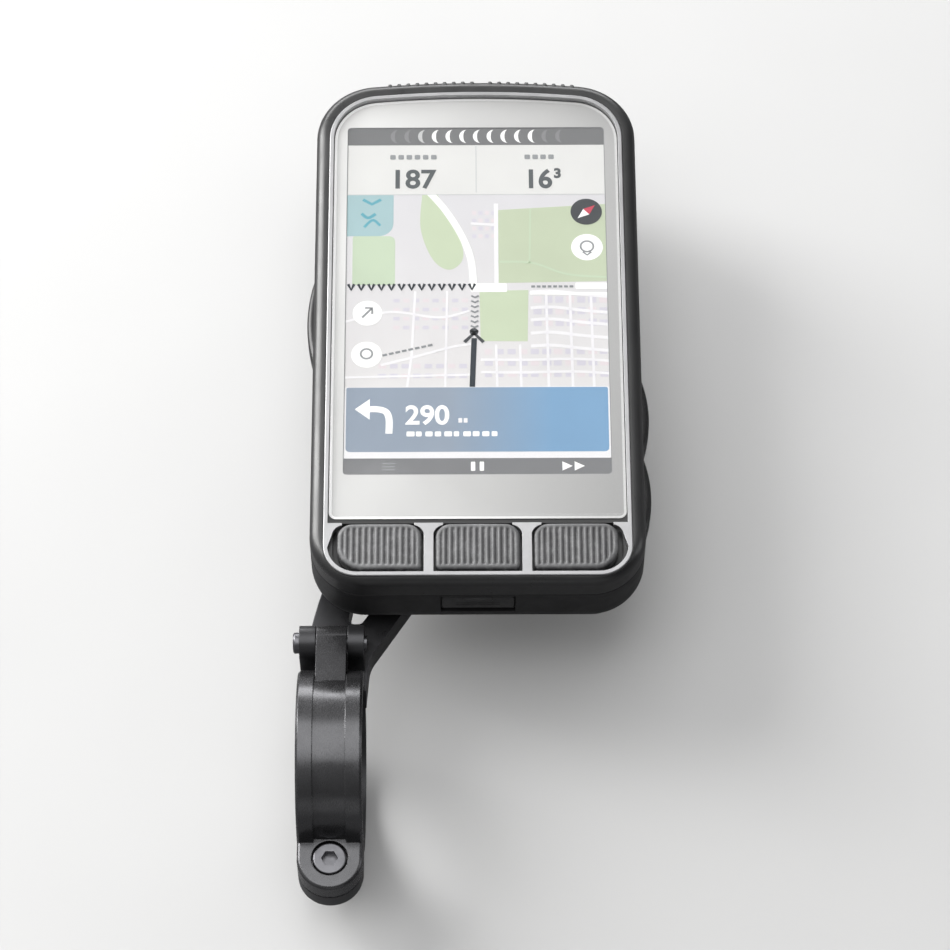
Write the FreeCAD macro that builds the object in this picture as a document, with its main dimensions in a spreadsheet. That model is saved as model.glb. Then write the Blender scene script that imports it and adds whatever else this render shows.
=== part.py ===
import FreeCAD, Part
import math
import os
import Sketcher
from FreeCAD import Placement, Rotation, Vector

# Large-screen GPS cycling computer on its out-front bar mount, in millimetres.
# Bar frame: origin at the centre of the handlebar clamp, +X along the bar to the
# rider's right, +Y forward, +Z up (out of the screen). Pieces of the computer are
# drawn about the middle of its case, with height 0 on its flat back, and carried to
# their place by their Placement. The front end is +Y and the rider end is -Y.

doc = FreeCAD.newDocument("cycling_computer")

# ---------------------------------------------------------------- driving dimensions
# alias, value, what it is
TABLE = [
    ("case_x", 30.5, "centre plane of the computer from the middle of the clamp"),
    ("case_y", 93.0, "middle of the case ahead of the bar axis"),
    ("case_z", 2.0, "back of the case above the bar axis"),
    ("case_width", 70.0, "overall width"),
    ("case_length", 125.0, "overall length"),
    ("case_height", 20.4, "back to face"),
    ("split_height", 14.0, "parting plane between the shells"),
    ("wall", 2.2, "shell wall"),
    ("corner_top", 13.5, "outline corner radius, front end"),
    ("corner_bottom", 11.6, "outline corner radius, rider end"),
    ("crown_angle", 5.5, "half angle of the crowned front end, degrees"),
    ("back_round", 6.5, "rounding of the back"),
    ("radio_low", 11.1, "underside of the radio antenna"),
    ("shoulder_round", 2.4, "rounding of the face edge"),
    ("face_floor", 19.0, "ledge that carries lens and trim"),
    ("ceiling", 17.6, "underside of that ledge"),
    ("trim_half", 32.1, "half width of the face trim"),
    ("trim_low", -61.1, "rider end of the trim"),
    ("trim_high", 59.0, "front end of the trim"),
    ("trim_corner_top", 11.0, "trim corner radius, front end"),
    ("trim_corner_bottom", 7.0, "trim corner radius, rider end"),
    ("trim_top", 20.55, "height of the trim"),
    ("trim_line", 0.9, "width of the trim line"),
    ("post_top", -48.9, "front end of the posts between the face buttons"),
    ("post_width", 2.0, "width of those posts"),
    ("lens_half", 31.1, "half width of the lens"),
    ("lens_low", -47.35, "rider end of the lens"),
    ("lens_high", 58.0, "front end of the lens"),
    ("lens_corner", 10.0, "lens corner radius, front end"),
    ("lens_under", 19.15, "underside of the lens"),
    ("panel_half", 28.2, "half width of the display panel"),
    ("panel_low", -40.4, "rider end of the panel"),
    ("panel_high", 51.8, "front end of the panel"),
    ("panel_under", 17.5, "underside of the panel"),
    ("tray_rim", 0.6, "rim thickness of the backlight tray"),
    ("tray_under", 16.3, "underside of the tray"),
    ("frame_under", 13.8, "underside of the inner frame"),
    ("frame_thick", 1.0, "inner frame thickness"),
    ("board_under", 12.0, "underside of the main board"),
    ("board_thick", 1.0, "main board thickness"),
    ("board_half", 24.6, "half width of board and frame"),
    ("floor", 2.2, "inside floor of the rear shell"),
    ("screw_mid_x", 26.0, "case screws, side pair"),
    ("screw_mid_y", 16.0, "case screws, side pair"),
    ("screw_top_x", 24.6, "case screws, front pair"),
    ("screw_top_y", 52.0, "case screws, front pair"),
    ("screw_low_x", 25.8, "case screws, rider pair"),
    ("screw_low_y", -51.6, "case screws, rider pair"),
    ("boss_radius", 3.0, "screw boss"),
    ("boss_joint", 8.0, "height where the two bosses meet"),
    ("screw_seat", 3.4, "seat of the case screw head"),
    ("screw_radius", 1.0, "case screw shank"),
    ("key_pitch", 20.4, "spacing of the face buttons"),
    ("key_half", 8.75, "half width of a face button"),
    ("key_low", -59.7, "rider end of the face buttons"),
    ("key_high", -49.1, "front end of the face buttons"),
    ("key_top", 20.95, "top of the face buttons"),
    ("key_floor", 17.4, "floor of the face button bay"),
    ("stem_radius", 1.3, "face button stem"),
    ("stem_y", -54.4, "face button stem"),
    ("side_low", 8.2, "side buttons, lower edge"),
    ("side_tall", 4.2, "side buttons, height"),
    ("side_bulge", 1.7, "side buttons, how far the middle stands out"),
    ("power_y", 4.6, "middle of the power button"),
    ("power_long", 21.6, "length of the power button"),
    ("up_y", -19.2, "middle of the up button"),
    ("down_y", -38.4, "middle of the down button"),
    ("updown_long", 18.9, "length of the up and down buttons"),
    ("port_height", 10.4, "height of the charging socket axis"),
    ("cover_half", 7.6, "half width of the port cover"),
    ("cover_axis_y", -61.35, "axis of the port cover"),
    ("cover_axis_z", 7.6, "axis of the port cover"),
    ("lug_y", -6.0, "twist lug axis on the case"),
    ("lug_base", 17.0, "radius of the lug base"),
    ("lug_seat", 1.4, "depth of the lug seat"),
    ("lug_stem", 13.0, "lug stem radius"),
    ("lug_tab", 16.0, "lug tab radius"),
    ("lug_tab_half", 6.2, "half width of a tab"),
    ("lug_drop", 4.2, "how far the lug stands below the back"),
    ("tab_thick", 2.2, "tab thickness"),
    ("receiver_radius", 20.0, "outside of the receiver"),
    ("receiver_under", -6.4, "underside of the receiver"),
    ("receiver_top", -0.3, "top of the receiver"),
    ("lip_under", -1.8, "underside of the receiver lips"),
    ("groove_floor", -4.6, "floor of the receiver groove"),
    ("seat_radius", 23.0, "outside of the arm's seat"),
    ("seat_top", 1.0, "top of the seat"),
    ("seat_under", -7.6, "underside of the seat"),
    ("arm_top", 0.8, "top of the arm"),
    ("arm_thick", 6.4, "thickness of the arm"),
    ("bar_radius", 15.9, "handlebar radius at the clamp"),
    ("band_radius", 19.0, "outside of the clamp band"),
    ("clamp_width", 13.5, "width of the clamp"),
    ("hinge_y", 24.0, "clamp hinge axis"),
    ("hinge_z", 7.0, "clamp hinge axis"),
    ("knuckle_radius", 3.6, "clamp hinge knuckle"),
    ("pin_radius", 1.5, "clamp hinge pin"),
    ("bolt_y", -22.2, "clamp bolt axis"),
    ("bolt_radius", 2.0, "clamp bolt shank"),
    ("battery_half", 21.8, "half width of the cell"),
    ("battery_low", -39.0, "rider end of the cell"),
    ("battery_high", 23.0, "front end of the cell"),
    ("battery_thick", 6.1, "cell thickness"),
]
VALUES = {alias: float(value) for alias, value, note in TABLE}


def fill_sheet():
    sheet = doc.addObject("Spreadsheet::Sheet", "Params")
    sheet.set("A1", "name")
    sheet.set("B1", "value")
    sheet.set("C1", "what it is")
    for line, (alias, value, note) in enumerate(TABLE, start=2):
        sheet.set("A%d" % line, alias)
        sheet.set("B%d" % line, "%g" % value)
        sheet.set("C%d" % line, note)
        sheet.setAlias("B%d" % line, alias)
    doc.recompute()


fill_sheet()


class Size:
    """A number together with the spreadsheet expression that drives it."""

    def __init__(self, value, text):
        self.value = float(value)
        self.text = text

    def __add__(self, other):
        other = size(other)
        return Size(self.value + other.value, "(%s + %s)" % (self.text, other.text))

    def __sub__(self, other):
        other = size(other)
        return Size(self.value - other.value, "(%s - %s)" % (self.text, other.text))

    def __rsub__(self, other):
        return size(other) - self

    def __mul__(self, other):
        other = size(other)
        return Size(self.value * other.value, "(%s * %s)" % (self.text, other.text))

    def __truediv__(self, other):
        other = size(other)
        return Size(self.value / other.value, "(%s / %s)" % (self.text, other.text))

    def __neg__(self):
        return size(0.0) - self


def size(number):
    if isinstance(number, Size):
        return number
    number = float(number)
    return Size(number, "%.6g" % number if number >= 0 else "(0 - %.6g)" % -number)


def sine(angle):
    return Size(math.sin(math.radians(angle.value)), "sin(%s)" % angle.text)


def cosine(angle):
    return Size(math.cos(math.radians(angle.value)), "cos(%s)" % angle.text)


def root(square):
    return Size(math.sqrt(square.value), "sqrt(%s)" % square.text)


class Dimensions:
    """Gives each alias of the spreadsheet as a Size."""

    def __getattr__(self, name):
        return Size(VALUES[name], "Params." + name)


dim = Dimensions()


def crown_radius(half, corner):
    """Radius of the front arc that runs smoothly into corners of one radius."""
    lean = sine(dim.crown_angle)
    return (half - corner + corner * lean) / lean


# ---------------------------------------------------------------- shared places
CASE_HALF = dim.case_width / 2
CASE_END = -(dim.case_length / 2)  # y of the rider end
INSIDE = CASE_HALF - dim.wall  # x of the side wall's inner face
CROWN = crown_radius(CASE_HALF, dim.corner_top)
CROWN_Y = dim.case_length / 2 - CROWN
BOARD_TOP = dim.board_under + dim.board_thick
FRAME_TOP = dim.frame_under + dim.frame_thick
SEAT_X = dim.case_x  # lug and seat axis in the bar frame
SEAT_Y = dim.case_y + dim.lug_y
CLAMP_HALF = dim.clamp_width / 2

# origins of the frames the pieces are drawn in
AT_BAR = (0.0, 0.0, 0.0)
AT_CASE = (dim.case_x, dim.case_y, dim.case_z)
AT_LUG = (SEAT_X, SEAT_Y, dim.case_z)

BEYOND = 1.0  # how far cutters overshoot a face
SUNK = 0.4  # how deep ribs and bosses root in the rear shell's floor
JOINT_BEVEL = 0.22  # bevel on both shells at the parting plane
BOSS_PLAY = 0.4  # gap of frame and board around the screw bosses
PILOT = 1.22  # radius of pilot holes for lug and receiver screws
LUG_HEAD_DEPTH = 2.6  # counterbore of the lug screws
SEAT_HEAD_DEPTH = 1.7  # counterbore of the receiver screws
CELL_UNDER = 3.9  # underside of the cell
CELL_TOP = dim.battery_thick + CELL_UNDER

SCREWS = [
    (-dim.screw_mid_x, dim.screw_mid_y),
    (dim.screw_mid_x, dim.screw_mid_y),
    (-dim.screw_top_x, dim.screw_top_y),
    (dim.screw_top_x, dim.screw_top_y),
    (-dim.screw_low_x, dim.screw_low_y),
    (dim.screw_low_x, dim.screw_low_y),
]
BOARD_SCREWS = [(-21.0, -44.0), (21.0, -44.0), (-21.0, 45.5), (21.0, 45.5)]
LUG_SCREW_X = 8.5
LUG_SCREWS = [(-LUG_SCREW_X, 0), (LUG_SCREW_X, 0)]
RECEIVER_HOLES = [(7.8, 7.8), (-7.8, 7.8), (-7.8, -7.8), (7.8, -7.8)]
SEAT_HOLES = [(SEAT_X + x, SEAT_Y + y) for x, y in RECEIVER_HOLES]
KEY_STEMS = [(x, dim.stem_y) for x in (-dim.key_pitch, size(0.0), dim.key_pitch)]
FLEX_NOTCH = (-7.2, dim.panel_low - 2.9, 7.2, dim.panel_low)
LIGHT_X, LIGHT_Y = 12.0, 54.9
BUZZER_X, BUZZER_Y = -14.0, 38.0

# side buttons: label, middle, length, side (-1 left, 1 right)
SIDE_KEYS = [
    ("power_button", dim.power_y, dim.power_long, -1),
    ("up_button", dim.up_y, dim.updown_long, 1),
    ("down_button", dim.down_y, dim.updown_long, 1),
]


def side_span(near, far, side):
    """The two x values, lower first, of a strip on the left (-1) or right (1) side."""
    return (near, far) if side > 0 else (-far, -near)


def crown_at(x, out):
    """y of the crowned front end at x, `out` beyond the case outline."""
    radius = CROWN + out
    x = size(x)
    return CROWN_Y + root(radius * radius - x * x)


# ---------------------------------------------------------------- bodies and binding
PIECES = []


def drive(obj, path, amount):
    """Ties a property to the sheet where the size comes from it."""
    if "Params." in amount.text:
        obj.setExpression(path, amount.text)


def bind(obj, prop, amount):
    amount = size(amount)
    setattr(obj, prop, amount.value)
    drive(obj, prop, amount)


def place(obj, origin):
    origin = [size(part) for part in origin]
    obj.Placement = Placement(Vector(*[part.value for part in origin]), Rotation())
    for axis, part in zip("xyz", origin):
        drive(obj, "Placement.Base." + axis, part)


def helper_body(name, origin=AT_CASE):
    body = doc.addObject("PartDesign::Body", name)
    place(body, origin)
    return body


def new_body(label, origin=AT_CASE, many=False):
    """A body that is exported; `many` lets it hold several solids."""
    body = helper_body(label, origin)
    body.Label = label
    if many:
        body.AllowCompound = True
    PIECES.append(body)
    return body


def origin_feature(body, role):
    return next(f for f in body.Origin.OriginFeatures if f.Role == role)


def volume(body):
    return body.Shape.Volume if not body.Shape.isNull() else 0.0


def smooth(points, radii):
    """Rounds the corners of a polygon: returns the points and arcs for Sketch.path."""
    flat_points = [(size(x).value, size(y).value) for x, y in points]
    out, arcs = [], {}
    for i, (point, radius) in enumerate(zip(points, radii)):
        if not radius:
            out.append(point)
            continue
        x, y = flat_points[i]
        before = flat_points[i - 1]
        after = flat_points[(i + 1) % len(points)]
        back_x, back_y = before[0] - x, before[1] - y
        on_x, on_y = after[0] - x, after[1] - y
        back, on = math.hypot(back_x, back_y), math.hypot(on_x, on_y)
        back_x, back_y, on_x, on_y = back_x / back, back_y / back, on_x / on, on_y / on
        cosine_between = back_x * on_x + back_y * on_y
        half_angle = math.acos(max(-1.0, min(1.0, cosine_between))) / 2
        reach = radius / math.tan(half_angle)
        turns_left = back_x * on_y - back_y * on_x < 0
        arcs[len(out)] = radius if turns_left else -radius
        out.append((point[0] + back_x * reach, point[1] + back_y * reach))
        out.append((point[0] + on_x * reach, point[1] + on_y * reach))
    return out, arcs


def arc_between(start, end, radius):
    """The shorter arc from start to end; a positive radius bulges right of the chord."""
    chord = end - start
    half = chord.Length / 2
    normal = Vector(-chord.y, chord.x, 0)
    normal.normalize()
    depth = math.sqrt(max(radius * radius - half * half, 0.0))
    centre = (start + end) * 0.5 + normal * (depth if radius > 0 else -depth)
    if radius < 0:
        start, end = end, start
    first = math.atan2(start.y - centre.y, start.x - centre.x)
    last = math.atan2(end.y - centre.y, end.x - centre.x)
    while last <= first:
        last += 2 * math.pi
    return Part.ArcOfCircle(Part.Circle(centre, Vector(0, 0, 1), abs(radius)), first, last)


class Sketch:
    """A sketch on one of its body's origin planes, every point held by constraints.

    Offsets and "up" follow the plane's normal: +Z for XY, -Y for XZ, +X for YZ.
    """

    def __init__(self, body, offset=0.0, plane="XY"):
        self.body = body
        self.count = 0
        self.sketch = body.newObject("Sketcher::SketchObject", body.Name + "_sketch")
        self.sketch.AttachmentSupport = [(origin_feature(body, plane + "_Plane"), "")]
        self.sketch.MapMode = "FlatFace"
        offset = size(offset)
        self.sketch.AttachmentOffset = Placement(Vector(0, 0, offset.value), Rotation())
        drive(self.sketch, "AttachmentOffset.Base.z", offset)

    # constraints

    def hold(self, kind, elements, amount):
        index = self.sketch.addConstraint(
            Sketcher.Constraint(kind, *elements, amount.value)
        )
        if "Params." in amount.text:
            name = "c%d" % index
            self.sketch.renameConstraint(index, name)
            drive(self.sketch, "Constraints." + name, amount)

    def fix(self, index, end, x, y):
        """Holds a point by its distances, or on the axis where a distance is zero."""
        for kind, axis, amount in (("DistanceX", -2, size(x)), ("DistanceY", -1, size(y))):
            if abs(amount.value) < 1e-9:
                on_axis = Sketcher.Constraint("PointOnObject", index, end, axis)
                self.sketch.addConstraint(on_axis)
            else:
                self.hold(kind, (-1, 1, index, end), amount)

    def join(self, index, end, other, other_end):
        self.sketch.addConstraint(
            Sketcher.Constraint("Coincident", index, end, other, other_end)
        )

    # outlines

    def path(self, points, arcs=None):
        """A closed outline. arcs maps a segment's index to its radius: positive turns left."""
        arcs = {i: size(radius) for i, radius in (arcs or {}).items()}
        total = len(points)
        corners = [Vector(size(x).value, size(y).value, 0) for x, y in points]
        geometry, ends = [], []
        for i in range(total):
            start, end = corners[i], corners[(i + 1) % total]
            if i in arcs:
                geometry.append(arc_between(start, end, arcs[i].value))
            else:
                geometry.append(Part.LineSegment(start, end))
            ends.append((2, 1) if i in arcs and arcs[i].value <= 0 else (1, 2))
        base = self.count
        self.sketch.addGeometry(geometry, False)
        self.count += total
        for i in range(total):
            after = (i + 1) % total
            self.join(base + i, ends[i][1], base + after, ends[after][0])
        for i, (x, y) in enumerate(points):
            self.fix(base + i, ends[i][0], x, y)
        for i, radius in arcs.items():
            self.hold("Radius", (base + i,), radius if radius.value > 0 else -radius)
        return self

    def open_path(self, points):
        """A chain of straight segments, alone in its sketch."""
        corners = [Vector(size(x).value, size(y).value, 0) for x, y in points]
        lines = [Part.LineSegment(a, b) for a, b in zip(corners, corners[1:])]
        self.sketch.addGeometry(lines, False)
        self.count = len(lines)
        for i in range(self.count - 1):
            self.join(i, 2, i + 1, 1)
        for i in range(self.count):
            self.fix(i, 1, *points[i])
        self.fix(self.count - 1, 2, *points[-1])
        return self

    def rect(self, x0, y0, x1, y1):
        return self.path([(x0, y0), (x1, y0), (x1, y1), (x0, y1)])

    def rounded(self, x0, y0, x1, y1, radii):
        """A rounded rectangle: one radius, or four from lower left anticlockwise."""
        x0, y0, x1, y1 = size(x0), size(y0), size(x1), size(y1)
        if not isinstance(radii, tuple):
            radii = (radii,) * 4
        r0, r1, r2, r3 = [size(radius) for radius in radii]
        return self.path(
            [
                (x0 + r0, y0), (x1 - r1, y0), (x1, y0 + r1), (x1, y1 - r2),
                (x1 - r2, y1), (x0 + r3, y1), (x0, y1 - r3), (x0, y0 + r0),
            ],
            {1: r1, 3: r2, 5: r3, 7: r0},
        )

    def circle(self, x, y, radius):
        x, y, radius = size(x), size(y), size(radius)
        centre = Vector(x.value, y.value, 0)
        self.sketch.addGeometry(Part.Circle(centre, Vector(0, 0, 1), radius.value), False)
        index = self.count
        self.count += 1
        self.fix(index, 3, x, y)
        self.hold("Radius", (index,), radius)
        return self

    def circles(self, places, radius):
        for x, y in places:
            self.circle(x, y, radius)
        return self

    def star(self, x, y, radii, total, turned=0.0):
        """Points round a centre, taking the radii in turn."""
        points = []
        for k in range(total):
            radius = radii[k % len(radii)]
            angle = math.radians(360 / total * k + turned)
            points.append((x + radius * math.cos(angle), y + radius * math.sin(angle)))
        return self.path(points)

    def hexagon(self, x, y, radius, turned=0.0):
        return self.star(x, y, (radius,), 6, turned)

    def two_flats(self, radius, half, turned):
        """A disc cut by two parallel lines: the plan of the tabs and of their entry slots."""
        reach = root(radius * radius - half * half)
        if turned:
            points = [(half, -reach), (half, reach), (-half, reach), (-half, -reach)]
        else:
            points = [(-reach, -half), (reach, -half), (reach, half), (-reach, half)]
        return self.path(points, {1: radius, 3: radius})

    def crowned(self, half, low, high, low_corner, high_corner, inset):
        """The crowned outline of case, trim and lens, drawn `inset` inside its edge."""
        inset = size(inset)
        lean, rise = sine(dim.crown_angle), cosine(dim.crown_angle)
        corner_x = half - high_corner
        crown = crown_radius(half, high_corner)
        corner_y = high - crown * (1 - rise) - high_corner * rise
        join_x = corner_x + (high_corner - inset) * lean
        join_y = corner_y + (high_corner - inset) * rise
        return self.path(
            [
                (-(half - low_corner), low + inset),
                (half - low_corner, low + inset),
                (half - inset, low + low_corner),
                (half - inset, corner_y),
                (join_x, join_y),
                (-join_x, join_y),
                (-(half - inset), corner_y),
                (-(half - inset), low + low_corner),
            ],
            {
                1: low_corner - inset,
                3: high_corner - inset,
                4: crown - inset,
                5: high_corner - inset,
                7: low_corner - inset,
            },
        )

    def case(self, inset=0.0):
        return self.crowned(
            CASE_HALF, CASE_END, dim.case_length / 2,
            dim.corner_bottom, dim.corner_top, inset,
        )

    def trim(self, inset=0.0):
        return self.crowned(
            dim.trim_half, dim.trim_low, dim.trim_high,
            dim.trim_corner_bottom, dim.trim_corner_top, inset,
        )

    def lens(self, inset=0.0):
        low_corner = size(1.6)
        return self.crowned(
            dim.lens_half, dim.lens_low, dim.lens_high, low_corner, dim.lens_corner, inset
        )

    def panel(self, grow, radius):
        """The display panel's outline, grown outwards."""
        half = grow + dim.panel_half if isinstance(grow, Size) else dim.panel_half + grow
        return self.rounded(
            -half, dim.panel_low - grow, half, dim.panel_high + grow, radius
        )

    def port(self, half, half_tall, radius):
        """A rounded slot about the charging socket's axis."""
        low, high = dim.port_height - half_tall, dim.port_height + half_tall
        return self.rounded(-half, low, half, high, radius)

    # features

    def feature(self, kind, length, reverse, middle):
        made = self.body.newObject(
            "PartDesign::" + kind, self.body.Name + "_" + kind.lower()
        )
        made.Profile = self.sketch
        bind(made, "Length", length)
        made.Reversed = reverse
        made.Midplane = middle
        doc.recompute()
        return made

    def must_cut(self, made, before):
        if not volume(self.body) < before - 1e-6:
            raise RuntimeError(self.body.Label + ": " + made.Name + " cuts nothing")
        return made

    def pad_up(self, length):
        return self.feature("Pad", length, False, False)

    def pad_down(self, length):
        return self.feature("Pad", length, True, False)

    def pad_both(self, length):
        """Pads half of the length to each side of the sketch."""
        return self.feature("Pad", length, False, True)

    def cut_up(self, length):
        before = volume(self.body)
        return self.must_cut(self.feature("Pocket", length, True, False), before)

    def cut_down(self, length):
        before = volume(self.body)
        return self.must_cut(self.feature("Pocket", length, False, False), before)

    def cut_both(self, length):
        """Cuts half of the length to each side of the sketch."""
        before = volume(self.body)
        return self.must_cut(self.feature("Pocket", length, False, True), before)

    def groove(self, axis):
        """Cuts the sketch turned fully about one of the body's axes."""
        before = volume(self.body)
        made = self.body.newObject("PartDesign::Groove", self.body.Name + "_groove")
        made.Profile = self.sketch
        made.ReferenceAxis = (origin_feature(self.body, axis + "_Axis"), [""])
        made.Angle = 360.0
        doc.recompute()
        return self.must_cut(made, before)


# ---------------------------------------------------------------- edges and dressing
def flat(z):
    """Passes edges lying at one height."""
    z = size(z).value
    return lambda edge, box: abs(box.ZMin - z) < 1e-3 and abs(box.ZMax - z) < 1e-3


def upright(edge, box):
    return box.XLength < 1e-3 and box.YLength < 1e-3 and box.ZLength > 1e-3


def rim(z):
    """Passes the case outline's own edges at one height, leaving out any inner loop."""
    level = flat(z)

    def test(edge, box):
        if not level(edge, box):
            return False
        middle = edge.valueAt((edge.FirstParameter + edge.LastParameter) / 2)
        on_side = abs(abs(middle.x) - CASE_HALF.value) < 0.01
        if on_side or abs(middle.y - CASE_END.value) < 0.01:
            return True
        return hasattr(edge.Curve, "Radius") and any(
            abs(edge.Curve.Radius - radius.value) < 0.01
            for radius in (dim.corner_top, dim.corner_bottom, CROWN)
        )

    return test


def require_good(feature, body, what):
    if "Invalid" in feature.State or "Error" in feature.State or feature.Shape.isNull():
        raise RuntimeError(body.Label + ": " + what + " failed")


def dress(body, kind, prop, test, amount):
    """Dresses the edges of the body's present shape that pass test(edge, box)."""
    base = body.Tip
    names = [
        "Edge%d" % i
        for i, edge in enumerate(base.Shape.Edges, start=1)
        if test(edge, edge.BoundBox)
    ]
    if not names:
        raise RuntimeError(body.Label + ": no edge found for a " + kind)
    made = body.newObject("PartDesign::" + kind, body.Name + "_" + kind.lower())
    made.Base = (base, names)
    bind(made, prop, amount)
    doc.recompute()
    require_good(made, body, kind)


def fillet(body, test, radius):
    dress(body, "Fillet", "Radius", test, radius)


def chamfer(body, test, width):
    dress(body, "Chamfer", "Size", test, width)


def hollow(body, z, thickness):
    """Turns the body into a shell of even wall, open at the face of one height."""
    base = body.Tip
    level = flat(z)
    names = [
        "Face%d" % i
        for i, face in enumerate(base.Shape.Faces, start=1)
        if level(face, face.BoundBox)
    ]
    made = body.newObject("PartDesign::Thickness", body.Name + "_thickness")
    made.Base = (base, names)
    bind(made, "Value", thickness)
    made.Reversed = True
    made.Mode = "Skin"
    made.Join = "Intersection"
    doc.recompute()
    require_good(made, body, "thickness")


def repeat_along_x(body, feature, length, count):
    made = body.newObject("PartDesign::LinearPattern", body.Name + "_row")
    made.Originals = [feature]
    made.Direction = (origin_feature(body, "X_Axis"), [""])
    bind(made, "Length", length)
    made.Occurrences = count
    body.Tip = made
    doc.recompute()


# ---------------------------------------------------------------- case shells
def rounded_back(body):
    """The solid rear half of the case with its back rounded."""
    Sketch(body).case().pad_up(dim.split_height)
    fillet(body, flat(0.0), dim.back_round)


def rear_housing():
    body = new_body("rear_housing")
    rounded_back(body)
    hollow(body, dim.split_height, dim.wall)
    chamfer(body, rim(dim.split_height), JOINT_BEVEL)
    # raised plate behind the twist lug, and the ribs that locate the cell
    root_z = dim.floor - SUNK
    Sketch(body, root_z).circle(0, dim.lug_y, dim.lug_base + 2.0).pad_up(1.8)
    half, low, high = dim.battery_half, dim.battery_low, dim.battery_high
    gap = 0.3
    ribs = Sketch(body, root_z)
    for side in (1, -1):
        x0, x1 = side_span(half + gap, half + 1.1, side)
        ribs.rect(x0, low + 4, x1, low + 20)
    ribs.rect(-12.0, high + gap, 12.0, high + 1.2)
    ribs.rect(-12.0, low - 1.2, 12.0, low - gap)
    ribs.pad_up(3.6)
    # screw bosses
    Sketch(body, root_z).circles(SCREWS, dim.boss_radius).pad_up(dim.boss_joint - root_z)
    # thicker wall around the charging port
    Sketch(body, 6.0).rect(-9.4, CASE_END + 1.2, 9.4, CASE_END + 3.6).pad_up(7.6)
    # through holes and head seats for the case screws, cut from the back
    head_hole = 2.05
    Sketch(body, -BEYOND).circles(SCREWS, dim.screw_radius + 0.1).cut_up(12.0)
    Sketch(body, -BEYOND).circles(SCREWS, head_hole).cut_up(dim.screw_seat + BEYOND)
    # seat of the twist lug and its pilot holes
    Sketch(body).circle(0, dim.lug_y, dim.lug_base + 0.08).cut_up(dim.lug_seat)
    pilots = [(x, dim.lug_y) for x in (-LUG_SCREW_X, LUG_SCREW_X)]
    Sketch(body, dim.lug_seat).circles(pilots, PILOT).cut_up(1.85)
    # groove for the case seal
    Sketch(body, dim.split_height).case(0.7).case(1.6).cut_down(0.8)
    # charging port, cover recess, hinge relief and trunnion holes
    Sketch(body, 56.0, "XZ").port(4.65, 1.8, 1.7).cut_up(10.0)
    recess_half = dim.cover_half + 0.2
    recess = Sketch(body, dim.cover_axis_z - 1.2)
    recess.rect(-recess_half, CASE_END - BEYOND, recess_half, CASE_END + 1.65).cut_up(6.95)
    for radius, extra in ((0.95, 0.4), (0.55, 2.6)):
        axis = Sketch(body, plane="YZ").circle(dim.cover_axis_y, dim.cover_axis_z, radius)
        axis.cut_both(dim.cover_half * 2 + extra)
    # windows for the side buttons
    play_y, play_z = 0.12, 0.15
    for _, y, length, side in SIDE_KEYS:
        x0, x1 = side_span(INSIDE - 0.6, CASE_HALF + BEYOND, side)
        reach = length / 2 + play_y
        window = Sketch(body, dim.side_low - play_z).rect(x0, y - reach, x1, y + reach)
        window.cut_up(dim.side_tall + play_z * 2)
    # inside reliefs: one behind the power button, one behind the up and down buttons
    drop = 0.8
    power_reach = dim.power_long / 2 + 0.9
    updown_reach = dim.updown_long / 2 + 0.9
    for side, y0, y1 in (
        (-1, dim.power_y - power_reach, dim.power_y + power_reach),
        (1, dim.down_y - updown_reach, dim.up_y + updown_reach),
    ):
        x0, x1 = side_span(INSIDE - 2.0, INSIDE + 0.1, side)
        relief = Sketch(body, dim.side_low - drop).rect(x0, y0, x1, y1)
        relief.cut_up(dim.split_height - dim.side_low + drop)
    # sound slots under the buzzer
    slots = Sketch(body, -BEYOND)
    for shift in (-2.4, 0.0, 2.4):
        y = BUZZER_Y + shift
        slots.rounded(BUZZER_X - 4.0, y - 0.5, BUZZER_X + 4.0, y + 0.5, 0.48)
    slots.cut_up(5.0)


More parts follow.
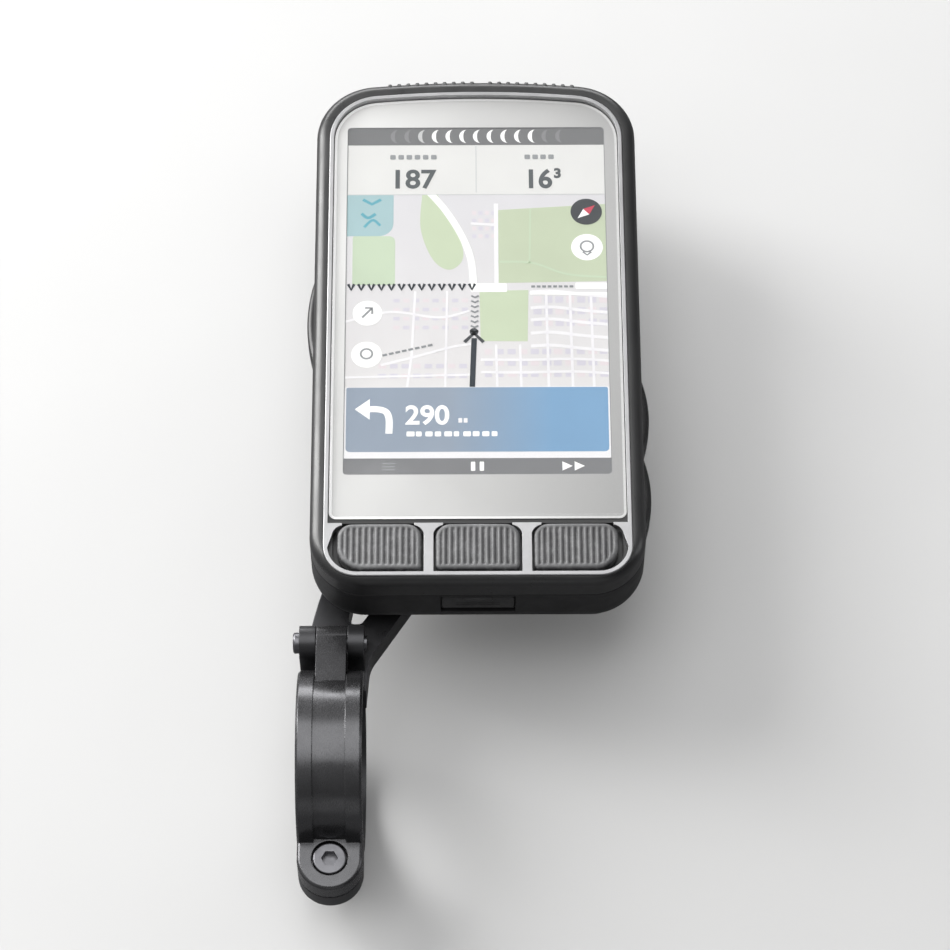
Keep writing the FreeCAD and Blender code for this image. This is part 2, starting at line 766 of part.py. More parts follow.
def front_housing():
    body = new_body("front_housing")
    Sketch(body, dim.split_height).case().pad_up(dim.case_height - dim.split_height)
    fillet(body, flat(dim.case_height), dim.shoulder_round)
    chamfer(body, rim(dim.split_height), JOINT_BEVEL)
    inside = Sketch(body, dim.split_height).case(dim.wall)
    inside.cut_up(dim.ceiling - dim.split_height)
    # block under the face button bay
    block = Sketch(body, dim.key_floor - 0.8)
    block.rounded(-31.6, CASE_END + 1.4, 31.6, -46.0, (8.4, 8.4, 0.5, 0.5)).pad_up(1.2)
    # recess for trim and lens
    recess = Sketch(body, dim.case_height + BEYOND).trim(-0.08)
    recess.cut_down(dim.case_height + BEYOND - dim.face_floor)
    # openings for the display and its flex
    below = dim.ceiling - 0.2
    Sketch(body, below).panel(dim.tray_rim + 0.3, 2.0).cut_up(3.0)
    Sketch(body, below).rect(*FLEX_NOTCH).cut_up(2.0)
    # face button bay, with ribs left standing under the trim posts
    low, high = dim.key_low - 0.75, dim.key_high + 0.85
    post_x = dim.key_pitch / 2
    rib_half = 0.45
    edge_x = dim.key_pitch + dim.key_half + 1.0
    bay = Sketch(body, dim.key_floor)
    bay.rounded(-edge_x, low, -(post_x + rib_half), high, (5.4, 0.3, 0.3, 2.0))
    bay.rect(-(post_x - rib_half), low, post_x - rib_half, high)
    bay.rounded(post_x + rib_half, low, edge_x, high, (0.3, 5.4, 2.0, 0.3))
    bay.cut_up(3.0)
    holes = Sketch(body, dim.key_floor - 2.0).circles(KEY_STEMS, dim.stem_radius + 0.5)
    holes.cut_up(3.0)
    # webs that tie the bosses to the walls
    web_half = 1.5
    webs = Sketch(body, FRAME_TOP + 0.1)
    for side in (-1, 1):
        x0, x1 = side_span(dim.screw_mid_x, CASE_HALF - 1.6, side)
        webs.rect(x0, dim.screw_mid_y - web_half, x1, dim.screw_mid_y + web_half)
        x = dim.screw_top_x * side
        webs.rect(x - web_half, dim.screw_top_y, x + web_half, 60.0)
        x = dim.screw_low_x * side
        webs.rect(x - web_half, CASE_END + 1.4, x + web_half, dim.screw_low_y)
    webs.pad_up(1.1)
    # bosses that meet the rear shell's
    boss_low = dim.boss_joint + 0.05
    Sketch(body, boss_low).circles(SCREWS, dim.boss_radius).pad_up(16.0 - boss_low)
    bores = Sketch(body, dim.boss_joint - BEYOND).circles(SCREWS, dim.screw_radius + 0.02)
    bores.cut_up(6.6)
    # windows in the front end for the two air grilles, and the light sensor's well
    windows = Sketch(body, 14.8)
    for side in (1, -1):
        x0, x1 = side_span(2.4, 21.6, side)
        windows.rect(x0, 57.0, x1, 64.0)
    windows.cut_up(2.6)
    Sketch(body, below).circle(LIGHT_X, LIGHT_Y, 1.25).cut_up(2.0)


def housing_seal():
    body = new_body("housing_seal")
    Sketch(body, dim.split_height - 0.78).case(0.75).case(1.55).pad_up(0.76)


def housing_screws():
    body = new_body("housing_screws", many=True)
    head_radius, head_tall = 1.9, 1.3
    Sketch(body, dim.screw_seat - head_tall).circles(SCREWS, head_radius).pad_up(head_tall)
    Sketch(body, dim.screw_seat - 0.2).circles(SCREWS, dim.screw_radius).pad_up(9.8)
    # six-pointed sockets
    sockets = Sketch(body, dim.screw_seat - 2.0)
    for x, y in SCREWS:
        sockets.star(x, y, (1.05, 0.74), 12)
    sockets.cut_up(1.5)


# ---------------------------------------------------------------- face trim
def face_trim():
    body = new_body("face_trim")
    thick = dim.trim_top - dim.face_floor
    Sketch(body, dim.face_floor).trim().pad_up(thick)
    chamfer(body, flat(dim.trim_top), 0.16)
    Sketch(body, dim.face_floor - BEYOND).trim(dim.trim_line).cut_up(thick + BEYOND * 2)
    posts = Sketch(body, dim.face_floor)
    # T-shaped posts between the face buttons, flared at their front ends
    flare_radius = 2.6
    top = dim.post_top
    foot = dim.trim_low + 0.5
    half = dim.post_width / 2
    head_half = half + 2.0
    for x in (-(dim.key_pitch / 2), dim.key_pitch / 2):
        posts.path(
            [
                (x - half, foot),
                (x + half, foot),
                (x + half, top - 2.4),
                (x + head_half, top - 0.5),
                (x + head_half, top),
                (x - head_half, top),
                (x - head_half, top - 0.5),
                (x - half, top - 2.4),
            ],
            {2: -flare_radius, 6: -flare_radius},
        )
    # half posts at the two ends of the row
    edge = dim.trim_half - dim.trim_line + 0.4
    foot = dim.trim_low + 6.6
    for side in (-1, 1):
        points = [
            (edge * side, foot),
            (edge * side, top),
            ((edge - 3.4) * side, top),
            ((edge - 3.4) * side, top - 0.5),
            ((edge - 1.35) * side, top - 2.7),
            ((edge - 0.42) * side, foot),
        ]
        if side < 0:
            points.reverse()
        posts.path(points, {3 if side > 0 else 1: -flare_radius})
    posts.pad_up(thick)


# ---------------------------------------------------------------- lens and display
def display_lens():
    body = new_body("display_lens")
    Sketch(body, dim.lens_under).lens().pad_up(dim.case_height - dim.lens_under)
    fillet(body, flat(dim.case_height), 0.45)


def lens_adhesive():
    body = new_body("lens_adhesive")
    sheet = Sketch(body, dim.face_floor).lens(0.25).panel(dim.tray_rim + 0.45, 2.1)
    sheet.pad_up(dim.lens_under - dim.face_floor)
    Sketch(body, dim.face_floor - BEYOND).rect(*FLEX_NOTCH).cut_up(2.0)
    Sketch(body, dim.face_floor - BEYOND).circle(LIGHT_X, LIGHT_Y, 1.3).cut_up(2.0)


def display_panel():
    body = new_body("display_panel")
    outline = Sketch(body, dim.panel_under).panel(0.0, 0.8)
    outline.pad_up(dim.lens_under - dim.panel_under - 0.1)


def backlight_tray():
    body = new_body("backlight_tray")
    rim_top = 18.5
    outline = Sketch(body, dim.tray_under).panel(dim.tray_rim, 1.4)
    outline.pad_up(rim_top - dim.tray_under)
    Sketch(body, dim.panel_under).panel(0.05, 0.85).cut_up(3.0)
    # notch for the flex in the rider end's rim
    notch = Sketch(body, dim.panel_under)
    notch.rect(-6.9, dim.panel_low - 2.0, 6.9, dim.panel_low + 1).cut_up(3.0)


def display_flex():
    """C-shaped strip from the panel's rider end down to the board."""
    body = new_body("display_flex")
    end = dim.panel_low
    top = dim.panel_under + 0.5
    low = BOARD_TOP + 0.2
    thick = 0.25
    profile = [
        (end, top + thick),
        (end - 2.1, top + thick),
        (end - 2.4, top - 0.05),
        (end - 2.4, low + 0.3),
        (end - 2.1, low),
        (end + 3.4, low),
        (end + 3.4, low + thick),
        (end - 2.0, low + thick),
        (end - 2.15, low + 0.4),
        (end - 2.15, top - 0.15),
        (end - 2.0, top),
        (end, top),
    ]
    Sketch(body, plane="YZ").path(profile).pad_both(12.6)


# ---------------------------------------------------------------- face buttons
# label, middle, corner radii of the cap and of the flange, from lower left anticlockwise
FACE_KEYS = [
    ("menu_button_left", -dim.key_pitch, (5.2, 1.0, 3.1, 3.1), (5.2, 0.4, 2.0, 2.0)),
    ("menu_button_centre", size(0.0), (1.0, 1.0, 3.1, 3.1), (0.4, 0.4, 2.0, 2.0)),
    ("menu_button_right", dim.key_pitch, (1.0, 5.2, 3.1, 3.1), (0.4, 5.2, 2.0, 2.0)),
]


def face_button(label, x, cap_corners, flange_corners):
    body = new_body(label)
    half, low, high = dim.key_half, dim.key_low, dim.key_high
    base = dim.face_floor - 0.8
    cap = Sketch(body, base).rounded(x - half, low, x + half, high, cap_corners)
    cap.pad_up(dim.key_top - dim.face_floor + 0.8)
    fillet(body, flat(dim.key_top), 0.7)
    # slots that leave the finger ribs
    margin, width = 1.65, 0.55
    start = x - half + margin
    slot = Sketch(body, dim.key_top + 0.2)
    slot.rounded(start, low + 0.9, start + width, high - 0.9, 0.26)
    repeat_along_x(body, slot.cut_down(0.55), half * 2 - (margin * 2 + width), 12)
    # flange that is caught under the trim, and the stem
    reach = half + 0.65
    flange = Sketch(body, base)
    flange.rounded(x - reach, low - 0.35, x + reach, high + 0.5, flange_corners).pad_up(0.7)
    stem_top, stem_end = dim.face_floor - 0.5, 16.55
    stem = Sketch(body, stem_top).circle(x, dim.stem_y, dim.stem_radius)
    stem.pad_down(stem_top - stem_end)


def face_buttons():
    for key in FACE_KEYS:
        face_button(*key)


def button_seals():
    body = new_body("button_seals", many=True)
    rings = Sketch(body, dim.key_floor - 0.75)
    for x, y in KEY_STEMS:
        rings.circle(x, y, dim.stem_radius + 0.48)
        rings.circle(x, y, dim.stem_radius + 0.02)
    rings.pad_up(0.6)


# ---------------------------------------------------------------- side buttons
def side_button(label, y, length, side):
    body = new_body(label)
    half = length / 2
    inner = INSIDE - 0.2
    proud = 0.25  # how far the ends of the button stand out
    outer = CASE_HALF + proud
    bulge = dim.side_bulge - proud
    radius = (half * half + bulge * bulge) / (bulge * 2)
    points = [
        (inner * side, y - half),
        (outer * side, y - half),
        (outer * side, y + half),
        (inner * side, y + half),
    ]
    if side < 0:
        points.reverse()
    Sketch(body, dim.side_low).path(points, {1: radius}).pad_up(dim.side_tall)

    def bulged(edge, box):
        outermost = abs(box.XMax if side > 0 else box.XMin)
        return box.ZLength < 1e-3 and edge.Length > 15 and outermost > outer.value + 0.5

    fillet(body, bulged, 1.1)
    # inner flange, longer at both ends on the power button
    reach = half + (0.54 if side < 0 else 0.04)
    x0, x1 = side_span(INSIDE - 1.2, inner, side)
    flange = Sketch(body, dim.side_low - 0.5).rect(x0, y - reach, x1, y + reach)
    flange.pad_up(dim.side_tall + 1.0)


def side_buttons():
    for key in SIDE_KEYS:
        side_button(*key)


def side_button_seals():
    body = new_body("side_button_seals", many=True)
    for _, y, length, side in SIDE_KEYS:
        x0, x1 = side_span(INSIDE - 0.17, INSIDE + 0.06, side)
        reach = length / 2 + 0.1
        strip = Sketch(body, dim.side_low - 0.55).rect(x0, y - reach, x1, y + reach)
        strip.pad_up(0.38)


# ---------------------------------------------------------------- charging port
def port_cover():
    # plate: the part of the case's own form inside a block, so it follows the outside
    form = helper_body("cover_form")
    rounded_back(form)
    block = helper_body("cover_block")
    half = dim.cover_half
    outline = Sketch(block, dim.cover_axis_z + 0.5)
    outline.rounded(-half, CASE_END - BEYOND, half, CASE_END + 1.4, 0.2).pad_up(5.05)
    plate = doc.addObject("Part::Common", "cover_plate")
    plate.Base = form
    plate.Tool = block
    # hinge barrel, trunnions and the strip that ties them to the plate
    hinge = helper_body("cover_hinge")
    y, z = dim.cover_axis_y, dim.cover_axis_z
    Sketch(hinge, plane="YZ").circle(y, z, 0.8).pad_both(half * 2)
    Sketch(hinge, plane="YZ").circle(y, z, 0.5).pad_both(half * 2 + 2.2)
    strip = Sketch(hinge, plane="YZ").rect(y - 0.62, z, y + 0.25, z + 0.9)
    strip.pad_both(half * 2 - 0.4)
    plug = helper_body("cover_plug")
    Sketch(plug, 59.3, "XZ").port(4.1, 1.2, 1.15).pad_up(2.1)
    cover = doc.addObject("Part::MultiFuse", "port_cover")
    cover.Shapes = [plate, hinge, plug]
    cover.Refine = True
    cover.Label = "port_cover"
    doc.recompute()
    PIECES.append(cover)


def usb_socket():
    body = new_body("usb_socket")
    Sketch(body, 51.3, "XZ").port(4.47, 1.6, 1.5).pad_up(7.3)
    Sketch(body, 52.3, "XZ").port(4.17, 1.28, 1.2).cut_up(10.0)
    # tongue
    half, half_tall, height = 3.35, 0.35, dim.port_height
    tongue = Sketch(body, 52.0, "XZ")
    tongue.rect(-half, height - half_tall, half, height + half_tall).pad_up(5.4)


# ---------------------------------------------------------------- inner frame and board
def mid_frame():
    body = new_body("mid_frame")
    plate = Sketch(body, dim.frame_under)
    plate.rect(-dim.board_half, CASE_END + 3.6, dim.board_half, 49.6)
    plate.pad_up(dim.frame_thick)
    # posts down to the board, and pads up to the tray
    Sketch(body, BOARD_TOP).circles(BOARD_SCREWS, 2.3).pad_up(1.2)
    pads = [(-17.0, -30.0), (17.0, -30.0), (-17.0, 36.0), (17.0, 36.0)]
    pad_low = dim.frame_under + 0.2
    Sketch(body, pad_low).circles(pads, 2.2).pad_up(dim.tray_under - pad_low)
    clearance = Sketch(body, dim.frame_under - BEYOND)
    clearance.circles(SCREWS, dim.boss_radius + BOSS_PLAY).cut_up(4.0)
    # slots for the two flexes, and four windows
    x0, y0, x1, y1 = FLEX_NOTCH
    openings = Sketch(body, dim.frame_under - 0.5).rect(x0, y0, x1, y1 + 0.6)
    openings.rect(11.4, -49.3, 18.6, -47.9)
    for middle in (-7.0, 7.0):
        for low, high in ((-20.0, 0.0), (8.0, 28.0)):
            openings.rounded(middle - 5.0, low, middle + 5.0, high, 2.0)
    openings.cut_up(3.0)
    Sketch(body, dim.board_under).circles(BOARD_SCREWS, 0.82).cut_up(2.6)


def main_board():
    body = new_body("main_board")
    half = dim.board_half
    Sketch(body, dim.board_under).rect(-half, -46.0, half, 50.0).pad_up(dim.board_thick)
    # tongues at the front end, the rider end and beside the three side buttons
    reach = 30.5
    tongues = Sketch(body, dim.board_under)
    tongues.rect(-14.0, 49.0, 14.0, 56.0)
    tongues.rect(-12.0, CASE_END + 4.0, 12.0, -45.0)
    for side, y, below in ((-1, dim.power_y, 3.2), (1, dim.up_y, 3.2), (1, dim.down_y, 2.8)):
        x0, x1 = side_span(half - 1, reach, side)
        tongues.rect(x0, y - below, x1, y + 3.2)
    tongues.pad_up(dim.board_thick)
    # clearance for the side and front bosses, and the screw holes
    holes = Sketch(body, dim.board_under - BEYOND)
    holes.circles(SCREWS[:4], dim.boss_radius + BOSS_PLAY)
    holes.circles(BOARD_SCREWS, 0.95).cut_up(4.0)


def board_screws():
    body = new_body("board_screws", many=True)
    head_tall = 0.7
    under = dim.board_under
    Sketch(body, under - head_tall).circles(BOARD_SCREWS, 1.6).pad_up(head_tall)
    Sketch(body, under - 0.2).circles(BOARD_SCREWS, 0.8).pad_up(2.6)
    half, half_wide = 0.9, 0.18
    slots = Sketch(body, under - 1.0)
    for x, y in BOARD_SCREWS:
        slots.rect(x - half, y - half_wide, x + half, y + half_wide)
    slots.cut_up(0.7)


def shield_cans():
    body = new_body("shield_cans", many=True)
    boxes = [(-19.0, -6.0, -2.0, 20.0), (2.0, -26.0, 19.0, 10.0)]
    tall, wall = 1.6, 0.2
    outside = Sketch(body, dim.board_under - tall)
    for box in boxes:
        outside.rounded(*box, 0.6)
    outside.pad_up(tall)
    inside = Sketch(body, dim.board_under - (tall - wall))
    for x0, y0, x1, y1 in boxes:
        inside.rounded(x0 + wall, y0 + wall, x1 - wall, y1 - wall, 0.4)
    inside.cut_up(2.0)


def board_chips():
    body = new_body("board_chips", many=True)
    tall = 0.9
    chips = Sketch(body, dim.board_under - tall)
    chips.rect(-16.0, 2.0, -6.0, 12.0)
    chips.rect(5.0, -20.0, 14.0, -11.0)
    chips.rect(6.0, -4.0, 14.0, 4.0)
    chips.pad_up(tall)


def board_connectors():
    body = new_body("board_connectors", many=True)
    plugs = Sketch(body, BOARD_TOP)
    plugs.rect(-7.0, dim.panel_low + 3.4, 7.0, dim.panel_low + 6.4)
    plugs.rect(11.6, -44.2, 18.4, -42.0)
    plugs.pad_up(0.7)


def gnss_antenna():
    body = new_body("gnss_antenna")
    x0, y0, x1, y1 = -1.0, 30.0, 17.0, 48.0
    tall, margin = 3.8, 3.0
    Sketch(body, dim.board_under).rect(x0, y0, x1, y1).pad_down(tall)
    chamfer(body, upright, 1.6)
    patch = Sketch(body, dim.board_under - tall)
    patch.rect(x0 + margin, y0 + margin, x1 - margin, y1 - margin).pad_down(0.15)


def buzzer():
    body = new_body("buzzer")
    tall = 1.9
    Sketch(body, dim.board_under).circle(BUZZER_X, BUZZER_Y, 6.0).pad_down(tall)
    Sketch(body, dim.board_under - tall).circle(BUZZER_X, BUZZER_Y, 1.0).cut_up(0.8)


def vent_membrane():
    body = new_body("vent_membrane")
    Sketch(body, dim.floor).circle(BUZZER_X, BUZZER_Y, 6.2).pad_up(0.3)


def air_sensor():
    body = new_body("air_sensor")
    Sketch(body, BOARD_TOP).rect(5.0, 51.0, 10.0, 55.6).pad_up(1.2)
    Sketch(body, BOARD_TOP + 1.0).circle(7.5, 53.3, 1.3).pad_up(0.9)


def light_sensor():
    body = new_body("light_sensor")
    Sketch(body, dim.ceiling).circle(LIGHT_X, LIGHT_Y, 1.1).pad_up(1.3)


def radio_antenna():
    """Curved strip just inside the front wall."""
    body = new_body("radio_antenna")
    left, right = -19.0, -4.0
    inner, outer = -dim.wall - 0.35, -dim.wall - 0.05
    strip = Sketch(body, dim.radio_low).path(
        [
            (left, crown_at(left, inner)),
            (right, crown_at(right, inner)),
            (right, crown_at(right, outer)),
            (left, crown_at(left, outer)),
        ],
        {0: -(CROWN + inner), 2: CROWN + outer},
    )
    strip.pad_up(2.6)


def side_switches():
    body = new_body("side_switches", many=True)
    half = 2.6
    cases = Sketch(body, dim.board_under)
    for _, y, _, side in SIDE_KEYS:
        x0, x1 = side_span(26.6, 30.2, side)
        cases.rect(x0, y - half, x1, y + half)
    cases.pad_down(2.5)
    # actuators
    half = 0.9
    for _, y, _, side in SIDE_KEYS:
        x0, x1 = side_span(29.8, 30.85, side)
        actuator = Sketch(body, dim.board_under - 0.6).rect(x0, y - half, x1, y + half)
        actuator.pad_down(1.5)


# ---------------------------------------------------------------- keypad
KEYPAD_THICK = 0.6


def keypad_board():
    body = new_body("keypad_board")
    Sketch(body, FRAME_TOP).rect(-22.4, -58.6, 22.4, -50.4).pad_up(KEYPAD_THICK)


def keypad_domes():
    body = new_body("keypad_domes", many=True)
    base, tall = FRAME_TOP + KEYPAD_THICK, 0.32
    Sketch(body, base).circles(KEY_STEMS, 1.9).pad_up(tall)
    fillet(body, flat(base + tall), 0.2)


def keypad_flex():
    """Z-shaped strip from the keypad board down to the main board."""
    body = new_body("keypad_flex")
    top = FRAME_TOP + 0.2
    low = BOARD_TOP + 0.2
    thick = 0.2
    profile = [
        (-50.4, top),
        (-50.4, top + thick),
        (-48.9, top + thick),
        (-48.6, top - 0.1),
        (-48.6, low + 0.3),
        (-48.5, low + thick),
        (-44.2, low + thick),
        (-44.2, low),
        (-48.6, low),
        (-48.8, low + 0.2),
        (-48.8, top - 0.1),
        (-48.9, top),
    ]
    Sketch(body, 15.0, "YZ").path(profile).pad_both(6.0)


# ---------------------------------------------------------------- cell
def battery_pack():
    body = new_body("battery_pack")
    half = dim.battery_half
    outline = Sketch(body, CELL_UNDER)
    outline.rounded(-half, dim.battery_low, half, dim.battery_high, 1.6)
    outline.pad_up(dim.battery_thick)
    under, top = flat(CELL_UNDER), flat(CELL_TOP)
    fillet(body, lambda edge, box: under(edge, box) or top(edge, box), 1.4)


def battery_tape():
    body = new_body("battery_tape", many=True)
    Sketch(body, 3.6).circle(0.0, dim.lug_y, 12.0).pad_up(0.28)


def battery_foam():
    body = new_body("battery_foam", many=True)
    strips = Sketch(body, CELL_TOP).rounded(-17.0, -4.0, -4.0, 18.0, 1.0)
    strips.rounded(4.0, -24.0, 17.0, 8.0, 1.0).pad_up(0.38)


def battery_leads():
    """Two insulated wires from the cell's front end up to the board."""
    body = new_body("battery_leads", many=True)
    start_y = dim.battery_high + 0.2
    low, high, radius = 7.0, 11.3, 0.55
    for x in (-4.2, -1.8):
        route = Sketch(body, x, "YZ").open_path(
            [
                (start_y, low),
                (start_y + 2.6, low),
                (start_y + 3.6, low + 1.0),
                (start_y + 3.6, high),
            ]
        )
        section = Sketch(body, -start_y, "XZ").circle(x, low, radius)
        pipe = body.newObject("PartDesign::AdditivePipe", "battery_leads_pipe")
        pipe.Profile = section.sketch
        pipe.Spine = (route.sketch, ["Edge1", "Edge2", "Edge3"])
        pipe.Transition = "Right corner"
        doc.recompute()


def battery_connector():
    body = new_body("battery_connector")
    front = dim.battery_high
    Sketch(body, dim.board_under).rect(-5.6, front + 1.9, -0.4, front + 5.7).pad_down(0.65)


# ---------------------------------------------------------------- air grilles
def air_grilles():
    body = new_body("air_grilles", many=True)
    inner_y, proud = 59.0, 0.5
    for side in (-1, 1):
        x0, x1 = side_span(2.5, 21.5, side)
        block = Sketch(body, 14.9).path(
            [
                (x0, inner_y),
                (x1, inner_y),
                (x1, crown_at(x1, proud)),
                (x0, crown_at(x0, proud)),
            ],
            {2: CROWN + proud},
        )
        block.pad_up(2.4)
    # seven slots in each, their floors following the crown
    first, pitch, half = 4.1, 2.5, 0.55
    slots = Sketch(body, 14.7)
    for side in (-1, 1):
        for k in range(7):
            x = side * (first + pitch * k)
            slots.rect(x - half, 60.9 - 0.0009 * x * x, x + half, 64.0)
    slots.cut_up(3.0)


# ---------------------------------------------------------------- twist lug and receiver
def twist_lug():
    body = new_body("twist_lug", AT_LUG)
    under = -dim.lug_drop
    Sketch(body).circle(0, 0, dim.lug_base).pad_up(dim.lug_seat - 0.03)
    Sketch(body).circle(0, 0, dim.lug_stem).pad_down(dim.lug_drop)
    tabs = Sketch(body, under).two_flats(dim.lug_tab, dim.lug_tab_half, False)
    tabs.pad_up(dim.tab_thick)
    # round hollow in the middle, then the screws' counterbores and holes
    Sketch(body, under).circle(0, 0, 5.0).cut_up(2.4)
    Sketch(body, under).circles(LUG_SCREWS, 2.35).cut_up(LUG_HEAD_DEPTH)
    Sketch(body, under).circles(LUG_SCREWS, 1.3).cut_up(8.0)
    # lower edges of the tab tips
    level = flat(under)
    chamfer(
        body,
        lambda edge, box: level(edge, box) and box.XLength < 4.0 and box.YLength > 11.0,
        0.4,
    )


def lug_screws():
    body = new_body("lug_screws", AT_LUG, many=True)
    seat = -dim.lug_drop + LUG_HEAD_DEPTH
    Sketch(body, seat).circles(LUG_SCREWS, 2.2).pad_down(1.5)
    Sketch(body, seat - 0.2).circles(LUG_SCREWS, 1.2).pad_up(4.7)
    sockets = Sketch(body, -dim.lug_drop)
    for x, y in LUG_SCREWS:
        sockets.hexagon(x, y, 1.25)
    sockets.cut_up(2.1)


def twist_receiver():
    body = new_body("twist_receiver", AT_LUG)
    top, under, floor = dim.receiver_top, dim.receiver_under, dim.groove_floor
    Sketch(body, under).circle(0, 0, dim.receiver_radius).pad_up(top - under)
    Sketch(body, top).circle(0, 0, dim.lug_stem + 0.3).cut_down(top - floor)
    # groove the tabs turn in, and the slots they enter by
    swept = dim.lug_tab + 0.4
    Sketch(body, plane="XZ").rect(1.0, floor, swept, dim.lip_under).groove("Z")
    entry = Sketch(body, top).two_flats(swept, dim.lug_tab_half + 0.6, True)
    entry.cut_down(top - floor)
    Sketch(body, under).circles(RECEIVER_HOLES, PILOT).cut_up(3.0)
    level = flat(top)
    chamfer(body, lambda edge, box: level(edge, box) and box.XLength > 39.0, 0.5)


# ---------------------------------------------------------------- bar clamp
FAR = 60.0  # reach of the cutters that trim the clamp halves
BOLT_HOLE = dim.bolt_radius + 0.15
NUT_UNDER = -9.0  # height the nut seat is cut from


def clamp_band(body):
    """A full disc of the clamp's width with the sharp corner taken off both rims."""
    Sketch(body, plane="YZ").circle(0, 0, dim.band_radius).pad_both(dim.clamp_width)
    bevel, over = 0.45, 0.2
    for side in (-1, 1):
        corner = [
            ((CLAMP_HALF - bevel - over) * side, dim.band_radius + over),
            ((CLAMP_HALF + over) * side, dim.band_radius + over),
            ((CLAMP_HALF + over) * side, dim.band_radius - bevel - over),
        ]
        Sketch(body, plane="XZ").path(corner).groove("X")


def mount_arm():
    """The arm, with the clamp's lower jaw and the seat of the receiver."""
    body = new_body("mount_arm", AT_BAR)
    jaw_top, ear_thick = -3.2, 4.0
    clamp_band(body)
    # bolt ear
    Sketch(body, jaw_top).circle(0, dim.bolt_y, CLAMP_HALF).pad_down(ear_thick)
    ear = Sketch(body, jaw_top).rect(-CLAMP_HALF, dim.bolt_y, CLAMP_HALF, -12.0)
    ear.pad_down(ear_thick)
    # everything above the jaw goes
    step_y = 13.0
    above = [
        (-FAR, jaw_top), (step_y, jaw_top), (step_y, dim.arm_top),
        (FAR, dim.arm_top), (FAR, FAR), (-FAR, FAR),
    ]
    Sketch(body, plane="YZ").path(above).cut_both(60.0)
    # two rails that spread from the clamp and close on the seat: x, y, corner radius
    rails = [
        (-CLAMP_HALF, 12.0, 0),
        (CLAMP_HALF, 12.0, 0),
        (CLAMP_HALF + 0.9, 23.4, 7),
        (16.8, 37.4, 18),
        (SEAT_X + 4.0, SEAT_Y - 21.5, 0),
        (SEAT_X - 10.0, SEAT_Y - 4.0, 0),
        (SEAT_X - 22.4, SEAT_Y - 4.0, 0),
        (2.6, 56.0, 45),
        (-3.4, 36.0, 40),
        (-CLAMP_HALF + 0.5, 24.0, 12),
    ]
    outline = smooth([(x, y) for x, y, _ in rails], [radius for _, _, radius in rails])
    Sketch(body, dim.arm_top).path(*outline).pad_down(dim.arm_thick)
    seat = Sketch(body, dim.seat_under).circle(SEAT_X, SEAT_Y, dim.seat_radius)
    seat.pad_up(dim.seat_top - dim.seat_under)
    # window between the rails: x, y, corner radius
    window = [
        (2.9, 31.4, 1.3),
        (5.9, 31.4, 1.3),
        (12.6, 41.6, 12),
        (SEAT_X - 5.4, SEAT_Y - 24.0, 2.0),
        (SEAT_X - 20.0, SEAT_Y - 16.6, 1.6),
        (7.4, 56.0, 30),
    ]
    outline = smooth([(x, y) for x, y, _ in window], [radius for _, _, radius in window])
    Sketch(body, dim.arm_top + BEYOND).path(*outline).cut_down(12.0)
    # hinge ears, with a gap between them for the strap's knuckle
    y, z, knuckle = dim.hinge_y, dim.hinge_z, dim.knuckle_radius
    Sketch(body, plane="YZ").circle(y, z, knuckle).pad_both(dim.clamp_width)
    ears = Sketch(body, plane="YZ").rect(y - knuckle, -3.0, y + knuckle, z)
    ears.pad_both(dim.clamp_width)
    gap = Sketch(body, plane="YZ").rect(y - 5.0, dim.arm_top + 0.2, y + 5.0, 16.0)
    gap.cut_both(6.7)
    Sketch(body, plane="YZ").circle(y, z, dim.pin_radius + 0.02).cut_both(40.0)
    # seat pocket, floor opening, screw holes and their counterbores
    above_seat, below_seat = dim.seat_top + BEYOND, dim.seat_under - BEYOND
    pocket = Sketch(body, above_seat).circle(SEAT_X, SEAT_Y, dim.receiver_radius + 0.08)
    pocket.cut_down(above_seat - (dim.receiver_under + dim.case_z))
    Sketch(body, below_seat).circle(SEAT_X, SEAT_Y, 5.0).cut_up(8.0)
    Sketch(body, below_seat).circles(SEAT_HOLES, 1.35).cut_up(8.0)
    Sketch(body, below_seat).circles(SEAT_HOLES, 2.4).cut_up(SEAT_HEAD_DEPTH + BEYOND)
    # handlebar bore, bolt hole and nut seat
    Sketch(body, plane="YZ").circle(0, 0, dim.bar_radius).cut_both(40.0)
    Sketch(body).circle(0, dim.bolt_y, BOLT_HOLE).cut_down(20.0)
    Sketch(body, NUT_UNDER).hexagon(0, dim.bolt_y, 4.08, turned=30).cut_up(4.2)
    # softened underside of the seat
    level = flat(dim.seat_under)
    fillet(body, lambda edge, box: level(edge, box) and box.XLength > 30.0, 1.2)


